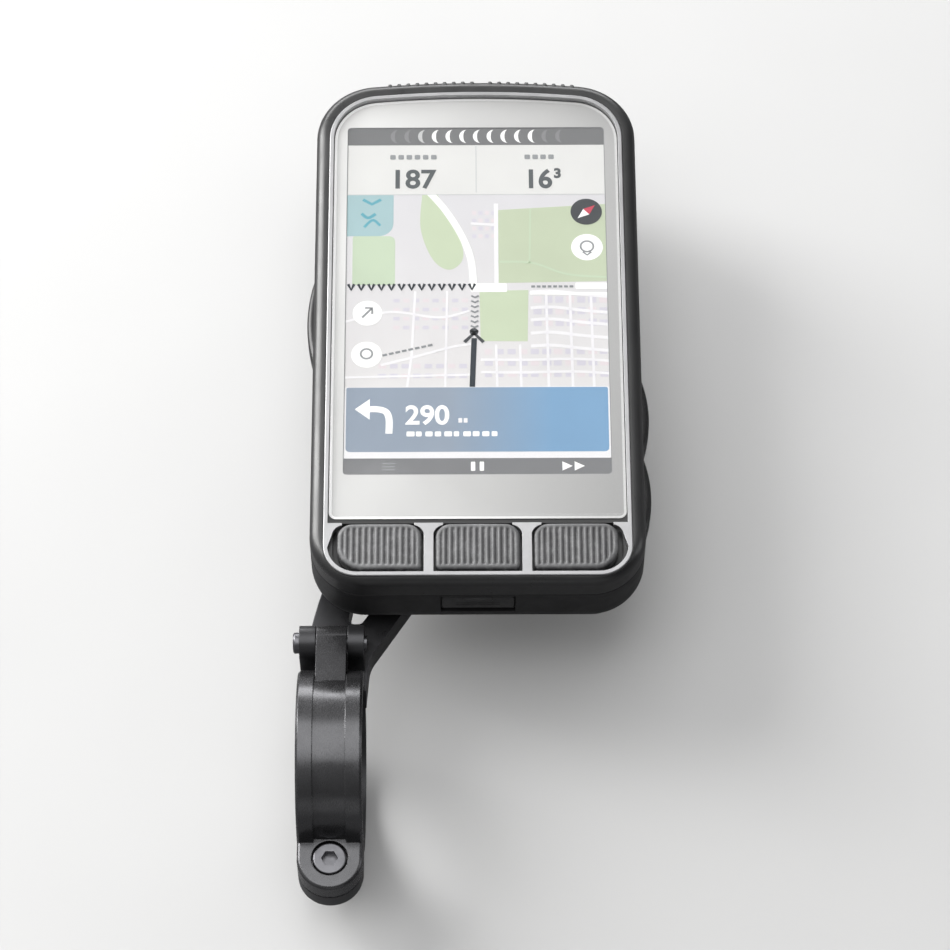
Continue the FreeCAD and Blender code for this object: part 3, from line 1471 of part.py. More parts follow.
def clamp_strap():
    """The clamp's upper jaw."""
    body = new_body("clamp_strap", AT_BAR)
    clamp_band(body)
    # shallow channel round the middle of the band
    channel = Sketch(body, plane="XZ")
    channel.rect(-3.35, dim.band_radius - 0.7, 3.35, dim.band_radius + 2.0).groove("X")
    # bolt ear
    jaw_under, ear_thick = -2.6, 4.6
    ear_top = 2.0
    Sketch(body, jaw_under).circle(0, dim.bolt_y, CLAMP_HALF).pad_up(ear_thick)
    ear = Sketch(body, jaw_under).rect(-CLAMP_HALF, dim.bolt_y, CLAMP_HALF, -12.0)
    ear.pad_up(ear_thick)
    # hinge knuckle and the web that joins it to the band
    y, z, knuckle = dim.hinge_y, dim.hinge_z, dim.knuckle_radius
    knuckle_width = 6.3
    Sketch(body, plane="YZ").circle(y, z, knuckle).pad_both(knuckle_width)
    web = [(y, z - knuckle), (y, z + knuckle), (12.0, 13.6), (12.0, 3.4)]
    Sketch(body, plane="YZ").path(web).pad_both(knuckle_width)
    # everything below the jaw goes
    step_y, step_z = 6.0, 1.4
    below = [
        (-FAR, -FAR), (FAR, -FAR), (FAR, step_z),
        (step_y, step_z), (step_y, jaw_under), (-FAR, jaw_under),
    ]
    Sketch(body, plane="YZ").path(below).cut_both(60.0)
    # handlebar bore, pin hole, bolt hole and room for the bolt head
    Sketch(body, plane="YZ").circle(0, 0, dim.bar_radius).cut_both(40.0)
    Sketch(body, plane="YZ").circle(y, z, dim.pin_radius + 0.08).cut_both(40.0)
    Sketch(body, 6.0).circle(0, dim.bolt_y, BOLT_HOLE).cut_down(20.0)
    Sketch(body, ear_top).circle(0, dim.bolt_y, 3.8).cut_down(2.4)
    level = flat(ear_top)
    behind = dim.bolt_y.value - 5.0
    fillet(body, lambda edge, box: level(edge, box) and box.YMin < behind, 0.8)


# ---------------------------------------------------------------- clamp hardware
def clamp_hinge_pin():
    body = new_body("clamp_hinge_pin", AT_BAR)
    y, z = dim.hinge_y, dim.hinge_z
    head_seat = -CLAMP_HALF - 0.05
    pin = Sketch(body, head_seat, "YZ").circle(y, z, dim.pin_radius)
    pin.pad_up(dim.clamp_width + 0.6)
    Sketch(body, head_seat, "YZ").circle(y, z, 2.2).pad_down(1.3)
    outside = -CLAMP_HALF.value - 1.0
    fillet(body, lambda edge, box: box.XLength < 1e-3 and box.XMax < outside, 0.5)


def clamp_bolt():
    body = new_body("clamp_bolt", AT_BAR)
    Sketch(body, -0.4).circle(0, dim.bolt_y, 3.5).pad_up(2.3)
    Sketch(body, -0.2).circle(0, dim.bolt_y, dim.bolt_radius).pad_down(7.2)
    Sketch(body, 2.4).hexagon(0, dim.bolt_y, 1.73).cut_down(2.1)
    head_top = flat(1.9)
    fillet(body, lambda edge, box: head_top(edge, box) and box.XLength > 6.0, 0.45)


def clamp_nut():
    body = new_body("clamp_nut", AT_BAR)
    outline = Sketch(body, -7.05).hexagon(0, dim.bolt_y, 4.0, turned=30)
    outline.circle(0, dim.bolt_y, dim.bolt_radius + 0.02).pad_up(2.2)


def receiver_screws():
    body = new_body("receiver_screws", AT_BAR, many=True)
    seat = dim.seat_under + SEAT_HEAD_DEPTH
    Sketch(body, seat).circles(SEAT_HOLES, 2.2).pad_down(1.4)
    Sketch(body, seat - 0.2).circles(SEAT_HOLES, 1.2).pad_up(3.1)
    sockets = Sketch(body, dim.seat_under - 0.5)
    for x, y in SEAT_HOLES:
        sockets.hexagon(x, y, 1.2)
    sockets.cut_up(1.8)


# ---------------------------------------------------------------- build, check and write
for build in (
    rear_housing, front_housing, housing_seal, housing_screws, face_trim,
    display_lens, lens_adhesive, display_panel, backlight_tray, display_flex,
    face_buttons, button_seals, side_buttons, side_button_seals,
    port_cover, usb_socket,
    mid_frame, main_board, board_screws, shield_cans, board_chips, board_connectors,
    gnss_antenna, buzzer, vent_membrane, air_sensor, light_sensor, radio_antenna,
    side_switches, keypad_board, keypad_domes, keypad_flex,
    battery_pack, battery_tape, battery_foam, battery_leads, battery_connector,
    air_grilles, twist_lug, lug_screws, twist_receiver,
    mount_arm, clamp_strap, clamp_hinge_pin, clamp_bolt, clamp_nut, receiver_screws,
):
    build()

doc.recompute()
wrong = [o.Name for o in doc.Objects if "Invalid" in o.State or "Error" in o.State]
if wrong:
    raise RuntimeError("failed objects: " + ", ".join(wrong))
os.makedirs("parts", exist_ok=True)
for piece in PIECES:
    shape = piece.Shape
    if shape.isNull() or not shape.isValid():
        raise RuntimeError(piece.Label + " has no valid shape")
    shape.exportStep("parts/" + piece.Label + ".step")
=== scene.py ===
"""Cycling computer on its handlebar mount: surfaces, display picture, keys and studio.

The case lies flat with its face up (+Z). Its front end, with the crowned edge, points along +Y,
the three ribbed menu keys and the charging port are at the -Y end, and +X is to the right.
Sizes are in millimetres about the middle of the case; at() turns them into metres.
"""
import math
import random

import bmesh
import bpy
from mathutils import Matrix, Vector


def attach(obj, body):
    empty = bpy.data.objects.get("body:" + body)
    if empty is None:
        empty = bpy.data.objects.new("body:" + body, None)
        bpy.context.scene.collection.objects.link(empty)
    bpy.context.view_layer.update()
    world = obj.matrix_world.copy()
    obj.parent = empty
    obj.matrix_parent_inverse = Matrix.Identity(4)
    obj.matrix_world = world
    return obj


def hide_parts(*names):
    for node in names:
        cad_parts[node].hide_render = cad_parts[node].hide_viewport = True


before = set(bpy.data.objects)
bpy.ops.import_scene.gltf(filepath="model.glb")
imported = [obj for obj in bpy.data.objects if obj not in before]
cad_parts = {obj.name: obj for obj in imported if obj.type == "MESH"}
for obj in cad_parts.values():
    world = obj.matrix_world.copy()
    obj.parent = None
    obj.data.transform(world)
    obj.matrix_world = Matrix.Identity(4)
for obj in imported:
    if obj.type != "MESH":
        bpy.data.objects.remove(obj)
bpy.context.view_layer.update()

MM = 0.001
# middle of the case, at the height of its flat back
CASE_X, CASE_Y, CASE_Z = 30.5, 93.0, 2.0
BACKDROP = (0.86, 0.86, 0.862, 1)

scene = bpy.context.scene


def at(x, y, z):
    """A point given about the case, in millimetres, as metres in the row frame."""
    return Vector(((CASE_X + x) * MM, (CASE_Y + y) * MM, (CASE_Z + z) * MM))


# ------------------------------------------------------------------ material builder
MATERIALS = {}


def srgb(code):
    """Linear RGBA of a six-digit hex colour."""
    linear = []
    for k in (0, 2, 4):
        c = int(code[k : k + 2], 16) / 255.0
        linear.append(c / 12.92 if c <= 0.04045 else ((c + 0.055) / 1.055) ** 2.4)
    return (*linear, 1.0)


def tone(colour, factor):
    return (*(c * factor for c in colour[:3]), 1.0)


def lightened(colour, gain, lift):
    return (*(min(1.0, c * gain + lift) for c in colour[:3]), 1.0)


class Material:
    """Builder for one procedural material. Texture space is millimetres in the row frame."""

    def __init__(self, name):
        self.name = name
        self.material = bpy.data.materials.new(name)
        self.material.use_nodes = True
        self.tree = self.material.node_tree
        self.tree.nodes.clear()
        self.output = self.add("ShaderNodeOutputMaterial")
        position = self.add("ShaderNodeTexCoord").outputs["Object"]
        self.mm = self.scale(position, factor=1000.0)

    def add(self, kind, **settings):
        node = self.tree.nodes.new(kind)
        for key, value in settings.items():
            setattr(node, key, value)
        return node

    def put(self, socket, value):
        """Links a socket, or sets a plain value."""
        if isinstance(value, bpy.types.NodeSocket):
            self.tree.links.new(value, socket)
        else:
            socket.default_value = value

    def scale(self, vector, factor):
        node = self.add("ShaderNodeVectorMath", operation="SCALE")
        self.put(node.inputs[0], vector)
        self.put(node.inputs["Scale"], factor)
        return node.outputs[0]

    def axes(self):
        """The x, y and z of the texture position."""
        node = self.add("ShaderNodeSeparateXYZ")
        self.put(node.inputs[0], self.mm)
        return node.outputs

    def noise(self, scale, detail=3.0, rough=0.55, stretch=None, distort=0.0):
        vector = self.mm
        if stretch:
            mapping = self.add("ShaderNodeMapping")
            mapping.inputs["Scale"].default_value = stretch
            self.put(mapping.inputs["Vector"], vector)
            vector = mapping.outputs[0]
        node = self.add("ShaderNodeTexNoise")
        self.put(node.inputs["Vector"], vector)
        node.inputs["Scale"].default_value = scale
        node.inputs["Detail"].default_value = detail
        node.inputs["Roughness"].default_value = rough
        node.inputs["Distortion"].default_value = distort
        return node.outputs["Fac"]

    def remap(self, value, band=(0.3, 0.7), to=(0.0, 1.0)):
        """Maps a band onto a range; the default band is the usual spread of noise."""
        node = self.add("ShaderNodeMapRange")
        self.put(node.inputs["Value"], value)
        for key, limit in zip(("From Min", "From Max", "To Min", "To Max"), (*band, *to)):
            self.put(node.inputs[key], limit)
        return node.outputs["Result"]

    def math(self, operation, a, b=0.0, clamp=False):
        node = self.add("ShaderNodeMath", operation=operation, use_clamp=clamp)
        self.put(node.inputs[0], a)
        self.put(node.inputs[1], b)
        return node.outputs[0]

    def mix(self, factor, a, b):
        node = self.add("ShaderNodeMix", data_type="RGBA")
        for index, value in ((0, factor), (6, a), (7, b)):
            self.put(node.inputs[index], value)
        return node.outputs[2]

    def round_normal(self, radius):
        node = self.add("ShaderNodeBevel", samples=4)
        node.inputs["Radius"].default_value = radius * MM
        return node.outputs["Normal"]

    def edge_mask(self, radius):
        """1 on worn edges, 0 on flats: how far a rounded normal leans from the true one."""
        rounded = self.round_normal(radius)
        geometry = self.add("ShaderNodeNewGeometry")
        dot = self.add("ShaderNodeVectorMath", operation="DOT_PRODUCT")
        self.put(dot.inputs[0], rounded)
        self.put(dot.inputs[1], geometry.outputs["Normal"])
        lean = self.math("SUBTRACT", 1.0, dot.outputs["Value"])
        return self.remap(lean, band=(0.02, 0.22))

    def rub(self, base, light, wear, radius, patch_scale, patch_band, patch_low):
        """Lightens the edges in uneven patches."""
        mask = self.edge_mask(radius)
        patch = self.noise(scale=patch_scale, detail=4.0, rough=0.65)
        patch = self.remap(patch, band=patch_band, to=(patch_low, 1.0))
        worn = self.math("MULTIPLY", self.math("MULTIPLY", mask, patch), wear, clamp=True)
        return self.mix(worn, base, light)

    def bump(self, height, depth, strength, normal=None):
        node = self.add("ShaderNodeBump")
        node.inputs["Strength"].default_value = strength
        node.inputs["Distance"].default_value = depth * MM
        self.put(node.inputs["Height"], height)
        if normal is not None:
            self.put(node.inputs["Normal"], normal)
        return node.outputs["Normal"]

    def bsdf(self, **values):
        node = self.add("ShaderNodeBsdfPrincipled")
        for key, value in values.items():
            self.put(node.inputs[key.replace("_", " ")], value)
        return node

    def blend(self, factor, first, second):
        """Mixes two shader nodes."""
        node = self.add("ShaderNodeMixShader")
        self.put(node.inputs[0], factor)
        self.put(node.inputs[1], first.outputs[0])
        self.put(node.inputs[2], second.outputs[0])
        return node

    def done(self, shader):
        self.put(self.output.inputs["Surface"], shader.outputs[0])
        MATERIALS[self.name] = self.material


# ------------------------------------------------------------------ kinds of surface
def moulded(name, colour, rough, grain=3.2, depth=0.012, wear=0.35, edge=0.14, spec=0.5):
    """Moulded or cast surface: fine grain, uneven tone, handling marks and rubbed edges."""
    spread = 0.16  # unevenness of the tone
    smudge = 0.08  # unevenness of the roughness
    m = Material(name)
    broad = m.noise(scale=0.06)
    fine = m.noise(scale=grain, rough=0.6)
    micro = m.noise(scale=grain * 2.7, detail=2.0, rough=0.5)
    marks = m.noise(scale=0.22, detail=5.0, rough=0.62, stretch=(1.0, 0.35, 1.0), distort=0.6)
    base = m.mix(m.remap(broad), tone(colour, 1 - spread), tone(colour, 1 + spread))
    speckle = m.remap(fine, band=(0.35, 0.65), to=(0.0, 0.35))
    base = m.mix(speckle, base, tone(colour, 1 + spread * 1.6))
    if wear:
        base = m.rub(base, lightened(colour, gain=2.6, lift=0.035), wear, radius=edge * 1.3,
                     patch_scale=0.5, patch_band=(0.42, 0.62), patch_low=0.15)
    roughness = m.remap(marks, band=(0.3, 0.72), to=(rough - smudge, rough + smudge))
    roughness = m.math("ADD", roughness, m.remap(micro, to=(-0.03, 0.03)), clamp=True)
    height = m.math("ADD", m.math("MULTIPLY", fine, 0.7), m.math("MULTIPLY", micro, 0.3))
    normal = m.bump(height, depth, strength=0.75, normal=m.round_normal(edge))
    m.done(m.bsdf(Base_Color=base, Roughness=roughness, Metallic=0.0, Normal=normal,
                  Sheen_Weight=0.0, Coat_Weight=0.0, Coat_Roughness=0.25,
                  Specular_IOR_Level=spec))


def metal_finish(name, colour, rough, brush=(1.0, 14.0, 1.0), scale=1.6, wear=0.3, depth=0.004,
                 edge=0.12, metallic=1.0, pits=0.0):
    """Machined or drawn metal: directional brushing, uneven oxide and brighter edges."""
    m = Material(name)
    lines = m.noise(scale=scale, rough=0.6, stretch=brush)
    broad = m.noise(scale=0.11, rough=0.6)
    base = m.mix(m.remap(broad), tone(colour, 0.86), tone(colour, 1.1))
    base = m.mix(m.remap(lines, band=(0.35, 0.7), to=(0.0, 0.5)), base, tone(colour, 1.2))
    if wear:
        base = m.rub(base, lightened(colour, gain=1.6, lift=0.16), wear, radius=edge * 1.4,
                     patch_scale=0.7, patch_band=(0.4, 0.65), patch_low=0.2)
    roughness = m.remap(lines, to=(rough - 0.06, rough + 0.08))
    oxide = m.remap(m.noise(scale=0.3, detail=4.0, rough=0.6), to=(-0.04, 0.05))
    roughness = m.math("ADD", roughness, oxide, clamp=True)
    height = lines
    if pits:
        height = m.math("ADD", m.math("MULTIPLY", lines, 0.5),
                        m.math("MULTIPLY", m.noise(scale=5.0, detail=2.0), pits))
    normal = m.bump(height, depth, strength=0.8, normal=m.round_normal(edge))
    m.done(m.bsdf(Base_Color=base, Roughness=roughness, Metallic=metallic, Normal=normal,
                  Anisotropic=0.25))


def rubber(name, colour, rough, grain=4.5):
    """Matt rubber with dusty patches and paler edges."""
    m = Material(name)
    fine = m.noise(scale=grain, rough=0.65)
    dust = m.noise(scale=0.4, detail=5.0, rough=0.7)
    dusty = m.remap(dust, band=(0.38, 0.75), to=(0.0, 0.65))
    base = m.mix(dusty, tone(colour, 1.0), tone(colour, 1.7))
    mask = m.edge_mask(radius=0.22)
    base = m.mix(m.math("MULTIPLY", mask, 0.4), base, tone(colour, 2.3))
    roughness = m.remap(m.noise(scale=0.9, detail=4.0), to=(rough - 0.09, rough + 0.1))
    normal = m.bump(fine, depth=0.014, strength=0.8, normal=m.round_normal(radius=0.16))
    m.done(m.bsdf(Base_Color=base, Roughness=roughness, Normal=normal, Sheen_Weight=0.12,
                  Sheen_Roughness=0.5, Specular_IOR_Level=0.42))


def printed(name, code, painted_glow=0.22, second=None, span=None, axis=0):
    """An area of the display: paper-like reflective ink with the panel's fine dot grid.

    With a second colour the ink grades along the axis over the span.
    """
    dot_pitch = 0.24
    m = Material(name)
    colour = srgb(code)[:3]
    if second:
        colour = m.mix(m.remap(m.axes()[axis], band=span), srgb(code), srgb(second))
    place = m.axes()

    def dots(along):
        phase = m.math("MULTIPLY", place[along], math.pi / dot_pitch)
        return m.math("ABSOLUTE", m.math("SINE", phase))

    nearest = m.math("MINIMUM", dots(0), dots(1))
    grid = m.remap(nearest, band=(0.0, 0.28), to=(0.93, 1.0))
    tint = m.remap(m.noise(scale=0.08, detail=2.0), to=(0.975, 1.02))
    ink = m.scale(colour, factor=m.math("MULTIPLY", grid, tint))
    # the emission is painted light: it makes the reflective ink glow brighter than its lighting
    # gives
    m.done(m.bsdf(Base_Color=ink, Roughness=0.5, Emission_Color=ink, Emission_Strength=painted_glow,
                  Specular_IOR_Level=0.3))


# ------------------------------------------------------------------ one-off surfaces
def ribbed_rubber():
    """Silicone key with painted light: painted highlight on the rib tops, painted shade in the
    grooves, dappled painted highlights, and painted shade growing toward the right.
    """
    m = Material("key_rubber")
    place = m.axes()
    # height mask: the grooves get painted shade, the rib tops a painted highlight
    high = m.remap(place[2], band=(CASE_Z + 20.25, CASE_Z + 20.88))
    # painted light across the keys: brighter on the left, painted shade toward the right
    across = m.remap(place[0], band=(CASE_X - 29, CASE_X + 29), to=(1.12, 0.82))
    dapple_painted_highlight = m.noise(scale=0.55, detail=4.0, rough=0.7)
    fine = m.noise(scale=3.4, rough=0.65)
    # the groove colour is painted shade; the rib-top and dapple colours are painted highlights;
    # the dark specks are the rubber's own tone
    groove_painted_shade, rib_top_painted_highlight = (0.030, 0.030, 0.032, 1), (0.140, 0.141, 0.144, 1)
    pale, speck = (0.215, 0.215, 0.22, 1), (0.06, 0.06, 0.062, 1)
    base = m.mix(high, groove_painted_shade, rib_top_painted_highlight)
    # the dapple mixes in patchy painted highlights
    base = m.mix(m.remap(dapple_painted_highlight, band=(0.46, 0.66), to=(0.0, 0.55)), base, pale)
    base = m.mix(m.remap(fine, band=(0.5, 0.75), to=(0.0, 0.4)), base, speck)
    base = m.scale(base, factor=across)
    roughness = m.remap(m.noise(scale=0.8, detail=4.0), to=(0.38, 0.56))
    normal = m.bump(fine, depth=0.03, strength=0.8, normal=m.round_normal(radius=0.07))
    m.done(m.bsdf(Base_Color=base, Roughness=roughness, Normal=normal, Sheen_Weight=0.05))


def board_finish():
    """Green circuit board with paler tracks."""
    m = Material("board")
    cells = m.add("ShaderNodeTexVoronoi", distance="CHEBYCHEV", feature="DISTANCE_TO_EDGE")
    m.put(cells.inputs["Vector"], m.mm)
    cells.inputs["Scale"].default_value = 0.55
    tracks = m.remap(cells.outputs["Distance"], band=(0.02, 0.06), to=(1.0, 0.0))
    base = m.mix(tracks, srgb("0f3a26"), srgb("1d5a3c"))
    normal = m.bump(tracks, depth=0.02, strength=0.5, normal=m.round_normal(radius=0.05))
    roughness = m.remap(m.noise(scale=0.4), to=(0.28, 0.42))
    m.done(m.bsdf(Base_Color=base, Roughness=roughness, Normal=normal))


def clear_lens():
    """Hardened cover glass: sees straight through, mirrors a little, with faint finger marks."""
    m = Material("lens_clear")
    fresnel = m.add("ShaderNodeFresnel")
    fresnel.inputs["IOR"].default_value = 1.5
    smear = m.noise(scale=0.12, detail=5.0, rough=0.62, stretch=(1.0, 0.5, 1.0), distort=1.2)
    gloss = m.add("ShaderNodeBsdfGlossy")
    m.put(gloss.inputs["Roughness"], m.remap(smear, band=(0.4, 0.7), to=(0.035, 0.12)))
    gloss.inputs["Color"].default_value = (0.98, 0.985, 1.0, 1.0)
    through = m.add("ShaderNodeBsdfTransparent")
    through.inputs["Color"].default_value = (0.896, 0.896, 0.893, 1.0)
    geometry = m.add("ShaderNodeNewGeometry")
    front_only = m.math("SUBTRACT", 1.0, geometry.outputs["Backfacing"])
    # anti-reflective coating: half of bare glass, and it never turns into a full mirror
    coat = m.math("MINIMUM", m.math("MULTIPLY", fresnel.outputs[0], 0.5), 0.03)
    m.done(m.blend(m.math("MULTIPLY", coat, front_only), through, gloss))


def lens_paint():
    """Silver-grey paint behind the glass, with painted light: paler on the left and toward the
    front, with painted shade toward the right and the rear.
    """
    m = Material("lens_paint")
    place = m.axes()
    across = m.remap(place[0], band=(CASE_X - 31, CASE_X + 31))
    along = m.remap(place[1], band=(CASE_Y - 48, CASE_Y + 20))
    # the left-to-right and front-to-rear grades are painted light: painted highlight on the left
    # and front, painted shade on the right and rear
    front = m.mix(across, srgb("f4f4f3"), srgb("b9b9b9"))
    rear = m.mix(across, srgb("dadad9"), srgb("a6a6a6"))
    base = m.mix(along, rear, front)
    flake = m.noise(scale=6.5, detail=2.0, rough=0.7)
    cloud = m.noise(scale=0.05, detail=2.0)
    base = m.mix(m.remap(flake, band=(0.5, 0.75), to=(0.0, 0.22)), base, srgb("f4f4f4"))
    base = m.mix(m.remap(cloud, band=(0.35, 0.7), to=(0.0, 0.12)), base, srgb("a8a8aa"))
    normal = m.bump(flake, depth=0.006, strength=0.5)
    m.done(m.bsdf(Base_Color=base, Roughness=m.remap(flake, to=(0.32, 0.46)), Metallic=0.25,
                  Normal=normal))


def floor_finish():
    """Paper floor: darker to reflections than to the camera."""
    m = Material("floor")
    cloud = m.noise(scale=0.006)
    base = m.mix(m.remap(cloud), (0.60, 0.60, 0.60, 1), (0.64, 0.64, 0.638, 1))
    to_camera = m.add("ShaderNodeLightPath").outputs["Is Camera Ray"]
    base = m.mix(to_camera, (0.18, 0.18, 0.184, 1), base)
    normal = m.bump(m.noise(scale=0.9), depth=0.02, strength=0.3)
    paper = m.bsdf(Base_Color=base, Roughness=0.62, Normal=normal, Specular_IOR_Level=0.3)
    # away from the object the floor runs out into the backdrop, as a paper sweep does
    distance = m.add("ShaderNodeVectorMath", operation="LENGTH")
    m.put(distance.inputs[0], m.mm)
    away = m.remap(distance.outputs["Value"], band=(260.0, 900.0))
    away = m.math("MULTIPLY", away, to_camera, clamp=True)
    sweep = m.add("ShaderNodeEmission")
    sweep.inputs["Color"].default_value = BACKDROP
    m.done(m.blend(away, paper, sweep))


def rim_painted_highlight():
    """Rim of the glass drawn as a painted highlight: white on the left, grey toward the right, and
    glowing most on the left.
    """
    m = Material("lens_rim_highlight")
    place = m.axes()
    width = (CASE_X - 31, CASE_X + 31)
    # painted highlight: white toward the left, grey toward the right
    base = m.mix(m.remap(place[0], band=width), (1.0, 1.0, 1.0, 1), srgb("cfcfcf"))
    flake = m.noise(scale=3.0, detail=2.0, rough=0.6)
    base = m.mix(m.remap(flake, band=(0.4, 0.7), to=(0.0, 0.12)), base, srgb("d8d8d8"))
    # the emission is painted light, strongest on the left
    painted_glow = m.remap(place[0], band=width, to=(0.30, 0.05))
    m.done(m.bsdf(Base_Color=base, Roughness=m.remap(flake, to=(0.22, 0.34)),
                  Emission_Color=base, Emission_Strength=painted_glow))


# ------------------------------------------------------------------ the materials
moulded("shell_front", (0.013, 0.0132, 0.0138), rough=0.35, grain=3.6, depth=0.010, wear=0.22,
        spec=0.75)
moulded("shell_rear", (0.012, 0.0122, 0.0128), rough=0.44, grain=2.6, depth=0.018, wear=0.25)
ribbed_rubber()
moulded("side_key", (0.016, 0.0162, 0.017), rough=0.28, grain=3.4, depth=0.008, edge=0.18)
rubber("cover_rubber", (0.019, 0.0192, 0.020), rough=0.56)
rubber("seal_rubber", (0.018, 0.018, 0.019), rough=0.66)
metal_finish("trim_silver", (0.42, 0.42, 0.427), rough=0.40, brush=(6.0, 6.0, 1.0), scale=1.1,
             wear=0.25, edge=0.1, metallic=0.85)
metal_finish("anodised", (0.052, 0.052, 0.055), rough=0.33, brush=(7.0, 1.0, 1.0), wear=0.36,
             depth=0.003, edge=0.26, metallic=0.7, pits=0.12)
# lighter copy of the black anodising for the strap: its raised base colour is painted light, so
# the strap reads brighter
metal_finish("anodised_strap_lit", (0.090, 0.090, 0.094), rough=0.24, brush=(7.0, 1.0, 1.0),
             wear=0.4, depth=0.003, edge=0.22, metallic=0.85, pits=0.12)
moulded("lug_plastic", (0.045, 0.045, 0.048), rough=0.42, grain=2.8, wear=0.45)
moulded("receiver_plastic", (0.028, 0.028, 0.030), rough=0.5, grain=2.4, depth=0.018, wear=0.45)
metal_finish("black_steel", (0.16, 0.16, 0.17), rough=0.34, brush=(1.0, 1.0, 6.0), wear=0.6)
metal_finish("bright_steel", (0.60, 0.60, 0.61), rough=0.25)
moulded("case_grey", (0.10, 0.10, 0.11), rough=0.5, wear=0.2)
moulded("ceramic", (0.62, 0.56, 0.46), rough=0.4, grain=1.8, wear=0.0)
metal_finish("gold_film", (0.62, 0.38, 0.12), rough=0.35, wear=0.0, metallic=0.5)
metal_finish("cell_foil", (0.58, 0.60, 0.62), rough=0.32, wear=0.1, brush=(1, 1, 1))
rubber("wire_red", (0.35, 0.02, 0.015), rough=0.5)
moulded("connector", (0.68, 0.66, 0.6), rough=0.45, wear=0.0)
rubber("foam", (0.05, 0.05, 0.052), rough=0.9, grain=1.6)
board_finish()
clear_lens()
lens_paint()
moulded("panel_edge", (0.04, 0.04, 0.045), rough=0.3, wear=0.0)
floor_finish()
rim_painted_highlight()
printed("edge_line", "8f9092", painted_glow=0.05)

# plain inks of the display: name, colour, painted glow (emission that adds painted light)
INKS = (
    ("field_white", "e9e9e8", 0.22), ("field_rule", "d5d7d8", 0.22),
    ("head_bar", "868789", 0.12), ("head_glow", "fbfbfb", 0.4),
    ("head_glow_mid", "c9cacb", 0.3), ("head_glow_dim", "949597", 0.2),
    ("ink_dark", "6a6f72", 0.06), ("ink_mid", "9b9fa2", 0.08), ("route_dark", "3f454c", 0.05),
    ("map_water", "aecbd0", 0.22), ("map_water_mark", "6fb2c2", 0.22),
    ("map_grass", "cdddc4", 0.22), ("map_park", "cbd6bc", 0.22), ("map_meadow", "cfdcc0", 0.22),
    ("map_road", "fdfdfc", 0.3), ("map_street", "f6f5f8", 0.25),
    ("map_block", "dcd9e4", 0.22), ("map_block_warm", "ebe2e6", 0.22),
    ("dial_dark", "55585c", 0.08), ("needle_red", "d4586a", 0.2),
    ("foot_bar", "8c8d90", 0.12), ("icon_white", "ffffff", 0.35), ("icon_grey", "a4a7aa", 0.1),
)
printed("map_ground", "e9e7e8", second="e2e1e5", span=(CASE_Y - 16, CASE_Y + 33), axis=1)
for name, code, painted_glow in INKS:
    printed(name, code, painted_glow=painted_glow)
printed("banner_blue", "9aa6b6", painted_glow=0.25, second="84abcf", span=(CASE_X - 6, CASE_X + 16))

# material of each CAD piece; the pieces not listed are case_grey
LOOKS = {
    "shell_front": "front_housing air_grilles",
    "shell_rear": "rear_housing",
    "seal_rubber": "housing_seal button_seals side_button_seals",
    "black_steel": "housing_screws board_screws lug_screws receiver_screws clamp_hinge_pin "
                   "clamp_bolt clamp_nut",
    "trim_silver": "face_trim",
    "lens_clear": "display_lens",
    "panel_edge": "lens_adhesive display_panel light_sensor",
    "bright_steel": "backlight_tray usb_socket mid_frame shield_cans air_sensor keypad_domes",
    "gold_film": "display_flex keypad_flex radio_antenna",
    "key_rubber": "menu_button_left menu_button_centre menu_button_right",
    "side_key": "power_button up_button down_button",
    "cover_rubber": "port_cover",
    "board": "main_board keypad_board",
    "connector": "board_connectors vent_membrane side_switches battery_connector",
    "ceramic": "gnss_antenna",
    "cell_foil": "battery_pack",
    "foam": "battery_foam",
    "wire_red": "battery_leads",
    "lug_plastic": "twist_lug",
    "receiver_plastic": "twist_receiver",
    "anodised": "mount_arm",
    "anodised_strap_lit": "clamp_strap",
}
LOOK_OF = {piece: look for look, pieces in LOOKS.items() for piece in pieces.split()}


def shade(mesh, angle):
    """Smooth shading, with edges sharper than the angle in degrees kept crisp."""
    for polygon in mesh.polygons:
        polygon.use_smooth = True
    mesh.set_sharp_from_angle(angle=math.radians(angle))


for name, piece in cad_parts.items():
    piece.data.materials.clear()
    piece.data.materials.append(MATERIALS[LOOK_OF.get(name, "case_grey")])
    shade(piece.data, angle=32)


# ------------------------------------------------------------------ mesh helpers
def add_piece(name, mesh, material, body="computer"):
    mesh.materials.append(MATERIALS[material])
    piece = bpy.data.objects.new(name, mesh)
    scene.collection.objects.link(piece)
    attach(piece, body)
    return piece


def mesh_from(bm, name):
    mesh = bpy.data.meshes.new(name)
    bm.to_mesh(mesh)
    bm.free()
    return mesh


def tidy(mesh, weld=None):
    """Turns the faces outward, after welding points closer than the given distance."""
    bm = bmesh.new()
    bm.from_mesh(mesh)
    if weld:
        bmesh.ops.remove_doubles(bm, verts=bm.verts, dist=weld)
    bmesh.ops.recalc_face_normals(bm, faces=bm.faces)
    bm.to_mesh(mesh)
    bm.free()


def solid(name, verts, faces, material, smooth, body="computer"):
    mesh = bpy.data.meshes.new(name)
    mesh.from_pydata([tuple(v) for v in verts], [], faces)
    tidy(mesh)
    shade(mesh, smooth)
    return add_piece(name, mesh, material, body)


def skins(name, parts, material, smooth, body="computer"):
    """Closed skins as one piece; each part is a list of 3-D loops of equal count."""
    verts, faces = [], []
    for loops in parts:
        count = len(loops[0])
        start = len(verts)
        last = start + (len(loops) - 1) * count
        for loop in loops:
            verts += loop
        for low in range(start, last, count):
            high = low + count
            for i in range(count):
                j = (i + 1) % count
                faces.append((low + i, low + j, high + j, high + i))
        faces.append(tuple(start + i for i in reversed(range(count))))
        faces.append(tuple(last + i for i in range(count)))
    return solid(name, verts, faces, material, smooth, body)


def level(outline, z):
    return [at(x, y, z) for x, y in outline]


